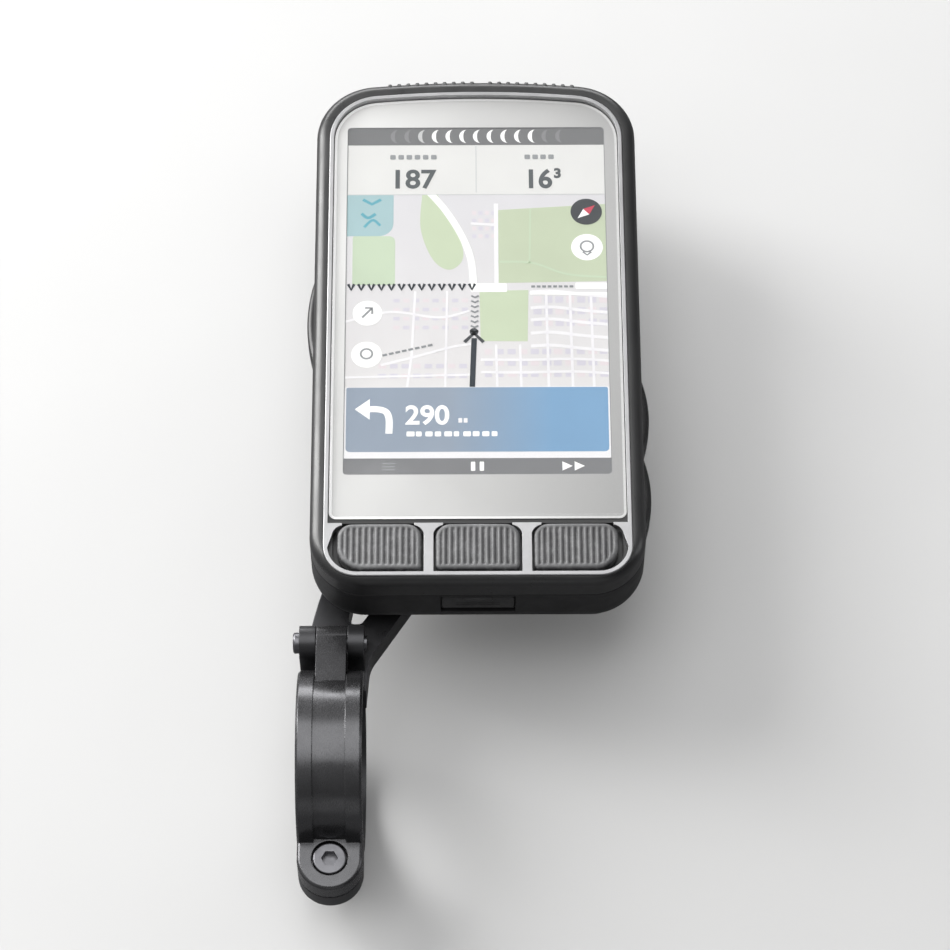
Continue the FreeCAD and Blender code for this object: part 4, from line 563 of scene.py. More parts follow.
def flat_ring(name, outer, inner, low, high, material):
    """A flat ring between two outlines of equal count."""
    count = len(outer)
    verts = level(outer, low) + level(outer, high) + level(inner, high) + level(inner, low)
    faces = []
    for k in range(4):
        here, there = k * count, (k + 1) % 4 * count
        for i in range(count):
            j = (i + 1) % count
            faces.append((here + i, here + j, there + j, there + i))
    solid(name, verts, faces, material, smooth=35.0)


def filled_ring(name, outer, inner, low, thick, material):
    """A flat sheet between two outlines of any count, filled by triangulation."""
    bm = bmesh.new()
    edges = []
    for outline in (outer, inner):
        verts = [bm.verts.new(point) for point in level(outline, low)]
        count = len(verts)
        edges += [bm.edges.new((verts[i], verts[(i + 1) % count])) for i in range(count)]
    bmesh.ops.triangle_fill(bm, edges=edges, use_beauty=True, use_dissolve=False)
    faces = list(bm.faces)
    bmesh.ops.recalc_face_normals(bm, faces=faces)
    if faces[0].normal.z < 0:
        for face in faces:
            face.normal_flip()
    grown = bmesh.ops.extrude_face_region(bm, geom=faces)["geom"]
    moved = [item for item in grown if isinstance(item, bmesh.types.BMVert)]
    bmesh.ops.translate(bm, verts=moved, vec=(0, 0, thick * MM))
    bmesh.ops.recalc_face_normals(bm, faces=bm.faces)
    add_piece(name, mesh_from(bm, name), material)


def arc(x, y, radius, start, end, steps):
    """Points of an arc about (x, y), from one angle to another in degrees."""
    angles = [math.radians(start + (end - start) * k / steps) for k in range(steps + 1)]
    return [(x + radius * math.cos(a), y + radius * math.sin(a)) for a in angles]


def box_outline(x0, y0, x1, y1, radius, steps=6):
    """Rounded rectangle; radii run lower left, lower right, upper right, upper left."""
    radii = radius if isinstance(radius, tuple) else (radius,) * 4
    r0, r1, r2, r3 = (max(r, 1e-4) for r in radii)
    outline = arc(x1 - r1, y0 + r1, r1, -90, 0, steps)
    outline += arc(x1 - r2, y1 - r2, r2, 0, 90, steps)
    outline += arc(x0 + r3, y1 - r3, r3, 90, 180, steps)
    outline += arc(x0 + r0, y0 + r0, r0, 180, 270, steps)
    return outline


# ------------------------------------------------------------------ cover glass and border
CROWN_ANGLE = 5.5  # half the angle the crowned front edge spans, degrees
LENS_HALF_WIDTH = 31.1
LENS_REAR, LENS_FRONT = -47.35, 58.0
LENS_REAR_RADIUS, LENS_FRONT_RADIUS = 1.6, 10.0
GLASS_SIDES = (19.17, 19.6, 19.95)  # heights of the upright side
GLASS_ROLL = 0.45                   # radius of the rolled upper edge
ROLL_STEPS = 8
GLASS_TOP, GLASS_TOP_INSET = 20.405, 0.6

# the picture is laid out 55.2 mm wide and spread across to the display's true width
SPREAD = 1.024
SCREEN_HALF_WIDTH = 27.6 * SPREAD
SCREEN_REAR, SCREEN_FRONT = -36.8, 50.35


def crown_radius(half_width, corner):
    """Radius of the shallow front arc that runs on smoothly from the corners."""
    lean = math.sin(math.radians(CROWN_ANGLE))
    return (half_width - corner + corner * lean) / lean


def lens_outline(inset, steps=12, crown_steps=36):
    """Outline of the glass with its crowned front, anticlockwise from the rear right corner."""
    rear, front = LENS_REAR_RADIUS, LENS_FRONT_RADIUS
    lean = math.radians(CROWN_ANGLE)
    crown = crown_radius(LENS_HALF_WIDTH, front)
    rear_x, rear_y = LENS_HALF_WIDTH - rear, LENS_REAR + rear
    front_x = LENS_HALF_WIDTH - front
    front_y = LENS_FRONT - crown * (1 - math.cos(lean)) - front * math.cos(lean)
    low, high = 90 - CROWN_ANGLE, 90 + CROWN_ANGLE
    outline = arc(rear_x, rear_y, rear - inset, -90, 0, steps)
    outline += arc(front_x, front_y, front - inset, 0, low, steps)
    outline += arc(0, LENS_FRONT - crown, crown - inset, low, high, crown_steps)[1:-1]
    outline += arc(-front_x, front_y, front - inset, high, 180, steps)
    outline += arc(-rear_x, rear_y, rear - inset, 180, 270, steps)
    return outline


def screen_outline(inset, radius):
    return box_outline(-SCREEN_HALF_WIDTH + inset, SCREEN_REAR + inset,
                       SCREEN_HALF_WIDTH - inset, SCREEN_FRONT - inset, radius, steps=8)


def cover_glass():
    stations = [(0.0, z) for z in GLASS_SIDES]
    for k in range(1, ROLL_STEPS + 1):
        turn = math.radians(90 * k / ROLL_STEPS)
        stations.append((GLASS_ROLL * (1 - math.cos(turn)),
                         GLASS_SIDES[-1] + GLASS_ROLL * math.sin(turn)))
    stations.append((GLASS_TOP_INSET, GLASS_TOP))
    loops = [level(lens_outline(inset), z) for inset, z in stations]
    glass = skins("cover_glass", [loops], "lens_clear", smooth=60.0)
    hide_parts("display_lens")


cover_glass()
filled_ring("lens_border", lens_outline(inset=0.12, steps=16, crown_steps=60),
            screen_outline(inset=0.0, radius=0.9), low=19.19, thick=0.02,
            material="lens_paint")
# bright ring along the glass's edge: painted highlight
flat_ring("lens_rim_highlight", lens_outline(inset=0.06), lens_outline(inset=0.62),
          low=19.18, high=19.235, material="lens_rim_highlight")
# thin dark line where the border meets the display
flat_ring("display_edge_line", screen_outline(inset=-0.05, radius=0.92),
          screen_outline(inset=0.16, radius=0.8), low=19.172, high=19.184,
          material="edge_line")

# ------------------------------------------------------------------ display: drawing helpers
LAYERS = (19.060, 19.078, 19.096, 19.114, 19.132)  # undersides, lowest first
INK_THICKNESS = 0.012
MAP_BOX = (-27.6, -15.6, 27.6, 32.8)  # x0, y0, x1, y1
DIGIT_SHARE = 0.72  # height of a digit as a share of the font size


def ink(name, layer, material, shapes):
    """One flat piece made of several outlines, each possibly concave, on one layer."""
    z = LAYERS[layer]
    bm = bmesh.new()
    for outline in shapes:
        low = [bm.verts.new(at(x * SPREAD, y, z)) for x, y in outline]
        top = [bm.verts.new(at(x * SPREAD, y, z + INK_THICKNESS)) for x, y in outline]
        count = len(outline)
        for i in range(count):
            j = (i + 1) % count
            bm.faces.new((low[i], low[j], top[j], top[i]))
        bm.faces.new(list(reversed(low)))
        bm.faces.new(top)
    bm.normal_update()
    bmesh.ops.triangulate(bm, faces=[face for face in bm.faces if len(face.verts) > 4])
    bmesh.ops.recalc_face_normals(bm, faces=bm.faces)
    add_piece(name, mesh_from(bm, name), material)


def clip(outline):
    """Sutherland-Hodgman clip of an outline to the map's rectangle."""
    x0, y0, x1, y1 = MAP_BOX
    for axis, limit, sign in ((0, x0, 1), (0, x1, -1), (1, y0, 1), (1, y1, -1)):
        kept = []
        for i, point in enumerate(outline):
            after = outline[(i + 1) % len(outline)]
            inside = (point[axis] - limit) * sign >= -1e-9
            if inside:
                kept.append(point)
            if inside != ((after[axis] - limit) * sign >= -1e-9):
                t = (limit - point[axis]) / (after[axis] - point[axis])
                kept.append(tuple(p + (q - p) * t for p, q in zip(point, after)))
        outline = kept
    clean = []
    for point in outline:
        if not clean or math.dist(point, clean[-1]) > 1e-4:
            clean.append(point)
    if len(clean) > 1 and math.dist(clean[0], clean[-1]) < 1e-4:
        clean.pop()
    return clean


def on_map(shapes):
    return [clipped for clipped in map(clip, shapes) if len(clipped) >= 3]


def ribbon(path, width):
    """Outline of a line of even width along a path."""
    left, right = [], []
    last = len(path) - 1
    for i, (x, y) in enumerate(path):
        x0, y0 = path[max(0, i - 1)]
        x1, y1 = path[min(last, i + 1)]
        length = math.hypot(x1 - x0, y1 - y0) or 1.0
        side_x = -(y1 - y0) / length * width / 2
        side_y = (x1 - x0) / length * width / 2
        left.append((x + side_x, y + side_y))
        right.append((x - side_x, y - side_y))
    return right + list(reversed(left))


def curve(points, steps=12):
    """Catmull-Rom through the points."""
    path = []
    ends = [points[0], *points, points[-1]]
    for i in range(1, len(ends) - 2):
        for k in range(steps):
            t = k / steps
            path.append(tuple(
                0.5 * (2 * b + (c - a) * t + (2 * a - 5 * b + 4 * c - d) * t * t
                       + (3 * b - a - 3 * c + d) * t ** 3)
                for a, b, c, d in zip(*ends[i - 1 : i + 3])))
    path.append(points[-1])
    return path


def disc(x, y, radius, count=36):
    angles = [2 * math.pi * k / count for k in range(count)]
    return [(x + radius * math.cos(a), y + radius * math.sin(a)) for a in angles]


def hoop(x, y, radius):
    circle = disc(x, y, radius, 24)
    return ribbon(circle + circle[:1], 0.4)


def turned(outline, degrees, x, y):
    """The outline turned about its origin, then moved to (x, y)."""
    c, s = math.cos(math.radians(degrees)), math.sin(math.radians(degrees))
    return [(x + px * c - py * s, y + px * s + py * c) for px, py in outline]


def digits(name, text, x, y, height, material, z, narrow, fat):
    """Number set in the built-in face, turned into a mesh; fat thickens the strokes."""
    text_curve = bpy.data.curves.new(name, "FONT")
    text_curve.body = text
    text_curve.size = height * MM / DIGIT_SHARE
    text_curve.align_x = "LEFT"
    text_curve.extrude = 0.004 * MM
    text_curve.offset = fat * MM
    text_curve.resolution_u = 6
    draft = bpy.data.objects.new(name + "_tmp", text_curve)
    scene.collection.objects.link(draft)
    bpy.context.view_layer.update()
    evaluated = draft.evaluated_get(bpy.context.evaluated_depsgraph_get())
    mesh = bpy.data.meshes.new_from_object(evaluated)
    bpy.data.objects.remove(draft)
    mesh.name = name
    tidy(mesh, weld=2e-9)
    place = Matrix.Translation(at(x * SPREAD, y, z))
    mesh.transform(place @ Matrix.Diagonal((narrow, 1.0, 1.0, 1.0)))
    mesh.materials.clear()
    add_piece(name, mesh, material)


# ------------------------------------------------------------------ display: fields and header
ink("scr_ground", 0, "map_ground", [box_outline(-27.9, -37.1, 27.9, 50.6, 0.9)])
ink("scr_fields", 1, "field_white", [box_outline(-27.5, 32.9, 27.5, 45.8, 0.05, 1)])
ink("scr_field_rules", 2, "field_rule", [box_outline(-0.12, 33.4, 0.12, 45.5, 0.02, 1),
                                         box_outline(-27.4, 32.75, 27.4, 32.95, 0.02, 1)])
ink("scr_header", 2, "head_bar",
    [box_outline(-27.55, 45.75, 27.55, 50.35, (0.02, 0.02, 0.8, 0.8), 5)])


def crescent(x, y, half_height, bulge):
    """A half-moon mark, convex to the left."""
    outer = [(x - bulge * math.cos(math.radians(t)), y + half_height * math.sin(math.radians(t)))
             for t in range(-90, 91, 15)]
    inner = [(x - bulge * 0.42 * math.cos(math.radians(t)),
              y + half_height * 0.98 * math.sin(math.radians(t)))
             for t in range(90, -91, -15)]
    return outer + inner[1:-1]


# positions along the header, counted from its middle
HEADER_MARKS = (
    ("bright", "head_glow", (-3, -2, -1, 0, 1, 2, 3, 4)),
    ("mid", "head_glow_mid", (-4,)),
    ("dim", "head_glow_dim", (-6, -5, 5, 6)),
)
for name, material, positions in HEADER_MARKS:
    marks = [crescent(k * 2.95 + 0.9, 48.05, half_height=1.72, bulge=1.55) for k in positions]
    ink("scr_header_marks_" + name, 3, material, marks)

# ------------------------------------------------------------------ display: map areas
ink("scr_water", 1, "map_water",
    on_map([box_outline(-27.6, 22.2, -17.6, 32.8, (0.1, 3.2, 0.1, 0.1), 6)]))
ink("scr_water_marks", 2, "map_water_mark", [
    turned(ribbon([(-1.9, 1.2), (0, 0), (1.9, 1.2)], 0.7), 0, -22.2, 30.4),
    turned(ribbon(curve([(-1.8, 0.6), (-0.4, -0.5), (1.2, 0.5)]), 0.7), 0, -22.6, 27.4),
    turned(ribbon(curve([(-1.6, -0.9), (0.2, 0.9), (1.8, -0.5)]), 0.6), 0, -22.2, 25.4)])
ink("scr_grass_left", 1, "map_grass",
    on_map([box_outline(-26.2, 9.8, -17.2, 22.2, (0.4, 0.4, 1.4, 0.4))]))
ink("scr_grass_oval", 1, "map_meadow", on_map([
    curve([(-11.5, 32.9), (-11.8, 24.0), (-9.2, 16.2), (-5.6, 13.6), (-2.8, 16.8), (-4.2, 23.6),
           (-8.3, 32.9)])]))
ink("scr_park", 1, "map_park",
    on_map([[(4.6, 28.8), (21.5, 29.9), (27.6, 30.3), (27.6, 10.6), (4.4, 10.2)]]))
ink("scr_meadow", 1, "map_meadow",
    on_map([[(0.6, 8.2), (10.9, 8.4), (10.6, -4.4), (0.8, -4.3)]]))
ink("scr_park_shade", 2, "map_grass", on_map([
    ribbon(curve([(4.6, 15.6), (12, 15.2), (19, 12.4), (27.6, 11.6)]), 0.5),
    ribbon([(11.5, 29.2), (11.2, 15.2)], 0.35)]))

random.seed(11)
cool_blocks, warm_blocks = [], []


def vary(size, extra):
    return size + extra * random.random() if extra else size


def add_blocks(columns, rows, corner, pitch, size, is_warm, extra=(0, 0)):
    """A grid of city blocks running right and down; extra is random added width and height."""
    for i in range(columns):
        for j in range(rows):
            x, y = corner[0] + i * pitch[0], corner[1] - j * pitch[1]
            width, height = vary(size[0], extra[0]), vary(size[1], extra[1])
            blocks = warm_blocks if is_warm(i, j) else cool_blocks
            blocks.append(box_outline(x, y, x + width, y + height, 0.1, 2))


add_blocks(columns=7, rows=3, corner=(11.9, 5.2), pitch=(2.3, 2.9), size=(1.7, 1.5),
           extra=(0, 0.3), is_warm=lambda i, j: (i + j) % 3 == 0)
add_blocks(columns=11, rows=3, corner=(1.6, -7.6), pitch=(2.4, 2.8), size=(1.5, 1.3),
           extra=(0.4, 0), is_warm=lambda i, j: (i * 2 + j) % 3 == 0)
add_blocks(columns=8, rows=4, corner=(-17.5, 5.4), pitch=(2.05, 2.25), size=(1.35, 0.9),
           is_warm=lambda i, j: (i + j) % 2 == 1)
add_blocks(columns=8, rows=2, corner=(-20.5, -11.0), pitch=(2.4, 2.4), size=(1.6, 1.1),
           is_warm=lambda i, j: (i + j) % 3 == 0)
add_blocks(columns=4, rows=4, corner=(-0.9, 27.6), pitch=(1.35, 2.0), size=(0.9, 1.0),
           is_warm=lambda i, j: (i + j) % 2 == 0)
ink("scr_blocks", 1, "map_block", on_map(cool_blocks))
ink("scr_blocks_warm", 1, "map_block_warm", on_map(warm_blocks))

# ------------------------------------------------------------------ display: streets and route
streets = [ribbon(curve([(11.3, y), (16, y + 0.2), (22, y - 0.6), (27.8, y - 1.2)]), 0.75)
           for y in (7.9, 3.9, 0.9, -2.4, -5.6)]
streets += [ribbon(curve([(0.8, y), (10, y - 0.1), (20, y + 0.1), (27.8, y - 0.4)]), 0.6)
            for y in (-8.9, -12.0)]
streets += [ribbon([(x, 7.8), (x + 0.3, -15.6)], 0.55) for x in (14.6, 19.6, 24.0)]
streets += [ribbon([(x, -5.2), (x + 0.2, -15.6)], 0.5) for x in (4.0, 9.0)]
streets += [
    ribbon(curve([(-27.6, 0.6), (-18, 3.0), (-8, 1.6), (-1.5, 3.2)]), 0.55),
    ribbon(curve([(-20, -10.2), (-13, -8.2), (-6, -6.0), (-1.2, -5.0)]), 0.6),
    ribbon([(-14.5, -15.6), (-13.6, -7.8), (-12.9, 8.2)], 0.5),
    ribbon([(-6.6, -15.6), (-6.2, 8.2)], 0.45),
    ribbon([(-27.6, -13.2), (-1.2, -12.6)], 0.5),
    ribbon([(4.2, 30.5), (4.2, 9.6)], 0.9),
    ribbon([(-1.2, 25.4), (4.2, 25.0)], 0.6),
]
ink("scr_streets", 2, "map_street", on_map(streets))
ink("scr_roads", 3, "map_road", on_map([
    ribbon(curve([(-9.8, 33.2), (-6.6, 28.8), (-3.2, 22.4), (-1.2, 16.2), (-0.6, 9.2)], 14), 1.5),
    box_outline(-1.2, 7.9, 6.4, 10.1, 0.3, 3),
    box_outline(20.8, 8.6, 27.6, 10.2, 0.3, 3),
    ribbon([(11.2, 7.6), (27.6, 7.4)], 0.7)]))
ink("scr_road_label", 3, "ink_mid",
    [box_outline(11.5 + k * 1.15, 9.0, 12.3 + k * 1.15, 9.55, 0.08, 2) for k in range(8)])
ink("scr_street_label", 3, "ink_mid",
    [turned(box_outline(-0.5, -0.26, 0.5, 0.26, 0.08, 2), 14, -19.2 + k * 1.35, -7.7 + k * 0.34)
     for k in range(8)])

# route: chevrons coming in from the left, then the line down the middle
ink("scr_route_arrows", 4, "route_dark", on_map(
    [ribbon([(x - 0.62, 10.0), (x, 8.55), (x + 0.62, 10.0)], 0.62)
     for x in (-26.4 + k * 2.12 for k in range(13))]))
ink("scr_route_dashes", 4, "ink_mid", on_map(
    [ribbon([(x - 0.8, y), (x, y - 0.42), (x + 0.8, y)], 0.42)
     for x, y in ((-0.35 - 0.02 * k, 7.0 - k * 1.25) for k in range(8))]))
ink("scr_route_line", 3, "route_dark", on_map([ribbon([(-0.55, -3.6), (-1.0, -15.6)], 1.15)]))
ink("scr_position", 4, "dial_dark",
    [ribbon([(-2.6, -4.6), (-0.6, -2.4), (1.4, -4.6)], 0.8), disc(-0.6, -2.0, 0.9, 20)])

# ------------------------------------------------------------------ display: round map keys
KEY_X = 23.4
COMPASS_Y = 28.3
COMPASS_TURN = 42
ink("scr_compass", 3, "dial_dark", [disc(KEY_X, COMPASS_Y, 3.35)])
for name, tip, material in (("a", 2.5, "needle_red"), ("b", -2.5, "icon_white")):
    needle = turned([(0, -0.95), (tip, 0), (0, 0.95)], COMPASS_TURN, KEY_X, COMPASS_Y)
    ink("scr_compass_needle_" + name, 4, material, [needle])
ink("scr_map_keys", 3, "icon_white",
    [disc(KEY_X, 19.2, 3.35), disc(-22.9, 2.7, 3.1), disc(-23.0, -7.6, 3.2)])
ink("scr_map_key_marks", 4, "icon_grey", [
    hoop(KEY_X, 19.4, 1.35),
    ribbon([(22.5, 18.0), (23.4, 17.2), (24.3, 18.0)], 0.4),
    ribbon([(-24.0, 1.6), (-22.0, 3.9)], 0.45),
    ribbon([(-23.4, 4.0), (-21.9, 4.0), (-21.9, 2.5)], 0.45),
    hoop(-23.0, -7.4, 1.2)])

# ------------------------------------------------------------------ display: banner and footer
ink("scr_banner_edge", 1, "map_street", [box_outline(-27.5, -32.9, 27.5, -15.6, 0.5, 4)])
ink("scr_banner", 2, "banner_blue",
    [box_outline(-27.1, -31.3, 27.1, -15.7, (0.9, 0.9, 0.4, 0.4), 5)])
ink("scr_turn_arrow", 3, "icon_white", [
    ribbon(curve([(-22.6, -21.0), (-20.6, -21.0), (-18.9, -21.6), (-18.2, -23.4),
                  (-18.2, -26.9)], 8), 1.45),
    [(-25.3, -21.0), (-22.2, -18.5), (-22.2, -23.5)]])
DOT_WIDTHS = (1.7, 1.2, 1.5, 1.3, 1.6, 1.1, 1.6, 1.4, 1.5, 1.2)
ink("scr_banner_dots", 3, "icon_white",
    [box_outline(-14.6 + k * 1.95, -27.6, -14.6 + k * 1.95 + width, -26.4, 0.25, 3)
     for k, width in enumerate(DOT_WIDTHS)])
ink("scr_footer", 2, "foot_bar",
    [box_outline(-27.55, -36.8, 27.55, -32.85, (0.8, 0.8, 0.02, 0.02), 5)])
# two bars in the middle, two arrowheads on the right
ink("scr_footer_icons", 3, "icon_white",
    [box_outline(x, -35.9, x + 0.9, -33.7, 0.15, 2) for x in (-1.35, 0.45)]
    + [[(x, -35.9), (x, -33.7), (x + 2.1, -34.8)] for x in (17.4, 19.9)])
ink("scr_footer_menu", 3, "icon_grey",
    [box_outline(-19.6, y, -16.9, y + 0.34, 0.1, 2) for y in (-35.7, -34.97, -34.24)])

# name, text, x, y, height, material, z, narrowing, thickening
NUMBERS = (
    ("scr_number_a", "187", -18.4, 34.6, 4.8, "ink_dark", 19.12, 1.0, 0.16),
    ("scr_number_b", "16", 10.2, 34.6, 4.8, "ink_dark", 19.12, 0.94, 0.18),
    ("scr_number_b_small", "3", 16.6, 37.2, 2.4, "ink_dark", 19.12, 1.0, 0.16),
    ("scr_number_c", "290", -14.9, -24.6, 4.6, "icon_white", 19.135, 0.98, 0.16),
)
for number in NUMBERS:
    digits(*number)
# first x, pitch, count of the square caption marks over each field
captions = [box_outline(x + k * pitch, 42.0, x + 1.2 + k * pitch, 43.2, 0.25, 3)
            for x, pitch, count in ((-18.4, 1.75, 6), (10.4, 1.7, 4)) for k in range(count)]
ink("scr_field_captions", 3, "icon_grey", captions)
ink("scr_banner_unit", 3, "map_street",
    [box_outline(x, -24.3, x + 0.8, -23.2, 0.1, 2) for x in (-3.9, -2.8)])

# ------------------------------------------------------------------ ribbed face keys
KEY_HALF_WIDTH = 8.75
KEY_REAR, KEY_FRONT = -59.7, -49.1
KEY_MIDDLE = (KEY_REAR + KEY_FRONT) / 2
KEY_HALF_LENGTH = (KEY_FRONT - KEY_REAR) / 2
KEY_TOP, KEY_FOOT = 20.95, 18.22
KEY_ROLL = 0.75      # radius of the rolled upper edge
RIB_PITCH = 1.27
GROOVE_DEPTH = 0.40
GROOVE_FADE = 0.7    # run over which the grooves grow, inward of the rolled edge
KEY_COLUMNS, KEY_ROWS = 176, 44
EDGE_COLUMNS = (0.02, 0.05, 0.14, 0.24)  # extra columns, as distances from the side
KEY_SPACING = 20.4


def edge_distance(x, y, corners):
    """Distance inside the key's outline; corners as in box_outline."""
    y -= KEY_MIDDLE
    if y < 0:
        radius = corners[0] if x < 0 else corners[1]
    else:
        radius = corners[2] if x >= 0 else corners[3]
    over_x = abs(x) - KEY_HALF_WIDTH + radius
    over_y = abs(y) - KEY_HALF_LENGTH + radius
    outside = math.hypot(max(over_x, 0.0), max(over_y, 0.0))
    return radius - (min(max(over_x, over_y), 0.0) + outside)


def key_span(x, corners):
    """Lowest and highest y of the key's outline at x."""
    rear, front = (corners[0], corners[3]) if x < 0 else (corners[1], corners[2])
    span = []
    for radius, y, inward in ((rear, KEY_REAR, 1), (front, KEY_FRONT, -1)):
        over = abs(x) - (KEY_HALF_WIDTH - radius)
        if over > 0:
            y += inward * (radius - math.sqrt(max(radius * radius - over * over, 0.0)))
        span.append(y)
    return span


def key_height(x, y, corners):
    inside = max(edge_distance(x, y, corners), 0.0)
    short = KEY_ROLL - min(inside, KEY_ROLL)
    drop = KEY_ROLL - math.sqrt(max(KEY_ROLL * KEY_ROLL - short * short, 0.0))
    dome = 0.16 * (x / KEY_HALF_WIDTH) ** 2 + 0.10 * ((y - KEY_MIDDLE) / KEY_HALF_LENGTH) ** 2
    fade = min(max((inside - KEY_ROLL) / GROOVE_FADE, 0.0), 1.0)
    fade = fade * fade * (3 - 2 * fade)
    wave = 0.5 - 0.5 * math.cos(2 * math.pi * (x / RIB_PITCH + 0.5))
    return KEY_TOP - drop * 0.9 - dome - GROOVE_DEPTH * fade * wave ** 1.3


def ribbed_key(name, centre_x, corners, node):
    half = KEY_HALF_WIDTH
    even = [round(-half + 2 * half * k / KEY_COLUMNS, 5) for k in range(KEY_COLUMNS + 1)]
    columns = sorted(set(even + [s * (half - d) for s in (-1, 1) for d in EDGE_COLUMNS]))
    # rows crowd toward both ends
    shares = [0.55 * (0.5 - 0.5 * math.cos(math.pi * k / KEY_ROWS)) + 0.45 * k / KEY_ROWS
              for k in range(KEY_ROWS + 1)]
    verts = []
    for x in columns:
        low, high = key_span(x, corners)
        for share in shares:
            y = low + (high - low) * share
            verts.append(at(centre_x + x, y, key_height(x, y, corners)))
    across, along = len(columns), len(shares)
    faces = [(i * along + j, (i + 1) * along + j, (i + 1) * along + j + 1, i * along + j + 1)
             for i in range(across - 1) for j in range(along - 1)]
    # the upright skirt and the flat foot
    border = [i * along for i in range(across)]
    border += [(across - 1) * along + j for j in range(1, along)]
    border += [i * along + along - 1 for i in range(across - 2, -1, -1)]
    border += list(range(along - 2, 0, -1))
    skirt = [len(verts) + k for k in range(len(border))]
    verts += [Vector((verts[k].x, verts[k].y, (CASE_Z + KEY_FOOT) * MM)) for k in border]
    count = len(border)
    for k in range(count):
        after = (k + 1) % count
        faces.append((border[k], skirt[k], skirt[after], border[after]))
    faces.append(tuple(skirt))
    key = solid(name, verts, faces, "key_rubber", 50.0, node + "_body")
    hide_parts(node)


# side, centre x, corner radii
for side, centre_x, corners in (("left", -KEY_SPACING, (5.2, 1.0, 3.1, 3.1)),
                                ("centre", 0.0, (1.0, 1.0, 3.1, 3.1)),
                                ("right", KEY_SPACING, (1.0, 5.2, 3.1, 3.1))):
    ribbed_key("menu_key_" + side, centre_x, corners, "menu_button_" + side)

# ------------------------------------------------------------------ ridges over the front shoulder
CASE_FRONT = 62.5
CASE_CROWN = crown_radius(half_width=35.0, corner=13.5)
SHOULDER_RADIUS = 2.4
SHOULDER_AXIS = 18.0  # height of the shoulder's centre
RIDGE_COUNT, RIDGE_PITCH, RIDGE_WIDTH = 10, 2.02, 1.05
RIDGE_SINK = 0.06     # depth of the ridge's edges inside the case
# place across the ridge as a share of its half width, and lift off the case
RIDGE_SECTION = ((-1, -0.05), (-0.55, 0.34), (0.55, 0.34), (1, -0.05))


def crown_y(x):
    return CASE_FRONT - CASE_CROWN + math.sqrt(CASE_CROWN ** 2 - x * x)


def shoulder_ridges(name, first_x):
    # y offset, height and tilt of the case's surface, from the upright wall over the shoulder
    profile = [(0.0, z, 0.0) for z in (17.0, 17.5, SHOULDER_AXIS)]
    for k in range(1, 9):
        tilt = math.radians(8.0 * k)
        profile.append((-SHOULDER_RADIUS * (1 - math.cos(tilt)),
                        SHOULDER_AXIS + SHOULDER_RADIUS * math.sin(tilt), tilt))
    count = len(profile)
    verts, faces = [], []
    for i in range(RIDGE_COUNT):
        start = len(verts)
        for side, lift in RIDGE_SECTION:
            x = first_x + i * RIDGE_PITCH + side * RIDGE_WIDTH / 2
            for k, (offset, z, tilt) in enumerate(profile):
                inner = 0 < k < count - 1
                ease = math.sin(math.pi * k / (count - 1)) ** 0.35 if inner else 0.0
                out = (lift + RIDGE_SINK) * ease - RIDGE_SINK
                verts.append(at(x, crown_y(x) + offset + math.cos(tilt) * out,
                                z + math.sin(tilt) * out))
        # three faces round the top, then the foot, sunk in the case
        for strip in range(4):
            here, there = start + strip * count, start + (strip + 1) % 4 * count
            for k in range(count - 1):
                faces.append((here + k, there + k, there + k + 1, here + k + 1))
        for end in (0, count - 1):
            faces.append(tuple(start + strip * count + end for strip in range(4)))
    solid(name, verts, faces, "shell_front", smooth=70.0)


shoulder_ridges("shoulder_ridges_left", first_x=-19.0)
shoulder_ridges("shoulder_ridges_right", first_x=3.2)

# ------------------------------------------------------------------ cover of the charging port
HINGE_Y, HINGE_Z = -61.35, 7.6
# stations through each upright part: inset, y
FLAP = (
    [(0.22, -61.12), (0.05, -61.2), (0.0, -61.34), (0.0, -62.1)]
    + [(0.4 * (1 - math.cos(math.radians(15 * k))), -62.1 - 0.38 * math.sin(math.radians(15 * k)))
       for k in range(1, 7)]
    + [(0.62, -62.52), (1.0, -62.55), (1.6, -62.575), (2.2, -62.585)]
)
LIP = [(0.0, -62.4), (0.0, -62.72), (0.06, -62.86), (0.16, -62.94), (0.28, -62.97)]
RIB = [(0.0, -62.4), (0.02, -62.62), (0.06, -62.68), (0.11, -62.7)]
PLUG = [
    (0.1, -61.3), (0.1, -60.35), (0.02, -60.2), (0.0, -60.05), (0.0, -59.85), (0.06, -59.66),
    (0.2, -59.5), (0.42, -59.42), (0.62, -59.46), (0.74, -59.6), (0.78, -60.9),
]
# stations along the hinge bar: x, radius
HINGE_BAR = [
    (-8.6, 0.34), (-8.5, 0.45), (-7.66, 0.45), (-7.6, 0.6), (-7.5, 0.72), (-7.35, 0.77),
    (-3.0, 0.74), (3.0, 0.74), (7.35, 0.77), (7.5, 0.72), (7.6, 0.6), (7.66, 0.45),
    (8.5, 0.45), (8.6, 0.34),
]
# stations along the web between bar and flap: x, half thickness
WEB = [(-7.2, 0.30), (-7.05, 0.40), (-6.4, 0.40), (0.0, 0.40), (6.4, 0.40), (7.05, 0.40),
       (7.2, 0.30)]
# section of the web: y as a share of the half thickness, z above the hinge
WEB_SECTION = [(-1.0, 0.2), (1.0, 0.2), (0.9, 0.55), (0.78, 0.75), (1.0, 1.15), (-1.0, 1.15),
               (-0.78, 0.75), (-0.9, 0.55)]


def upright(half_width, low, high, radius, stations, steps=8):
    """Loops of a rounded rectangle standing across the case."""
    loops = []
    for inset, y in stations:
        room = min(2 * half_width, high - low) / 2 - inset - 0.008
        corner = max(min(max(radius - inset, 0.12), room), 0.004)
        outline = box_outline(-half_width + inset, low + inset, half_width - inset, high - inset,
                              corner, steps)
        loops.append([at(x, y, z) for x, z in outline])
    return loops


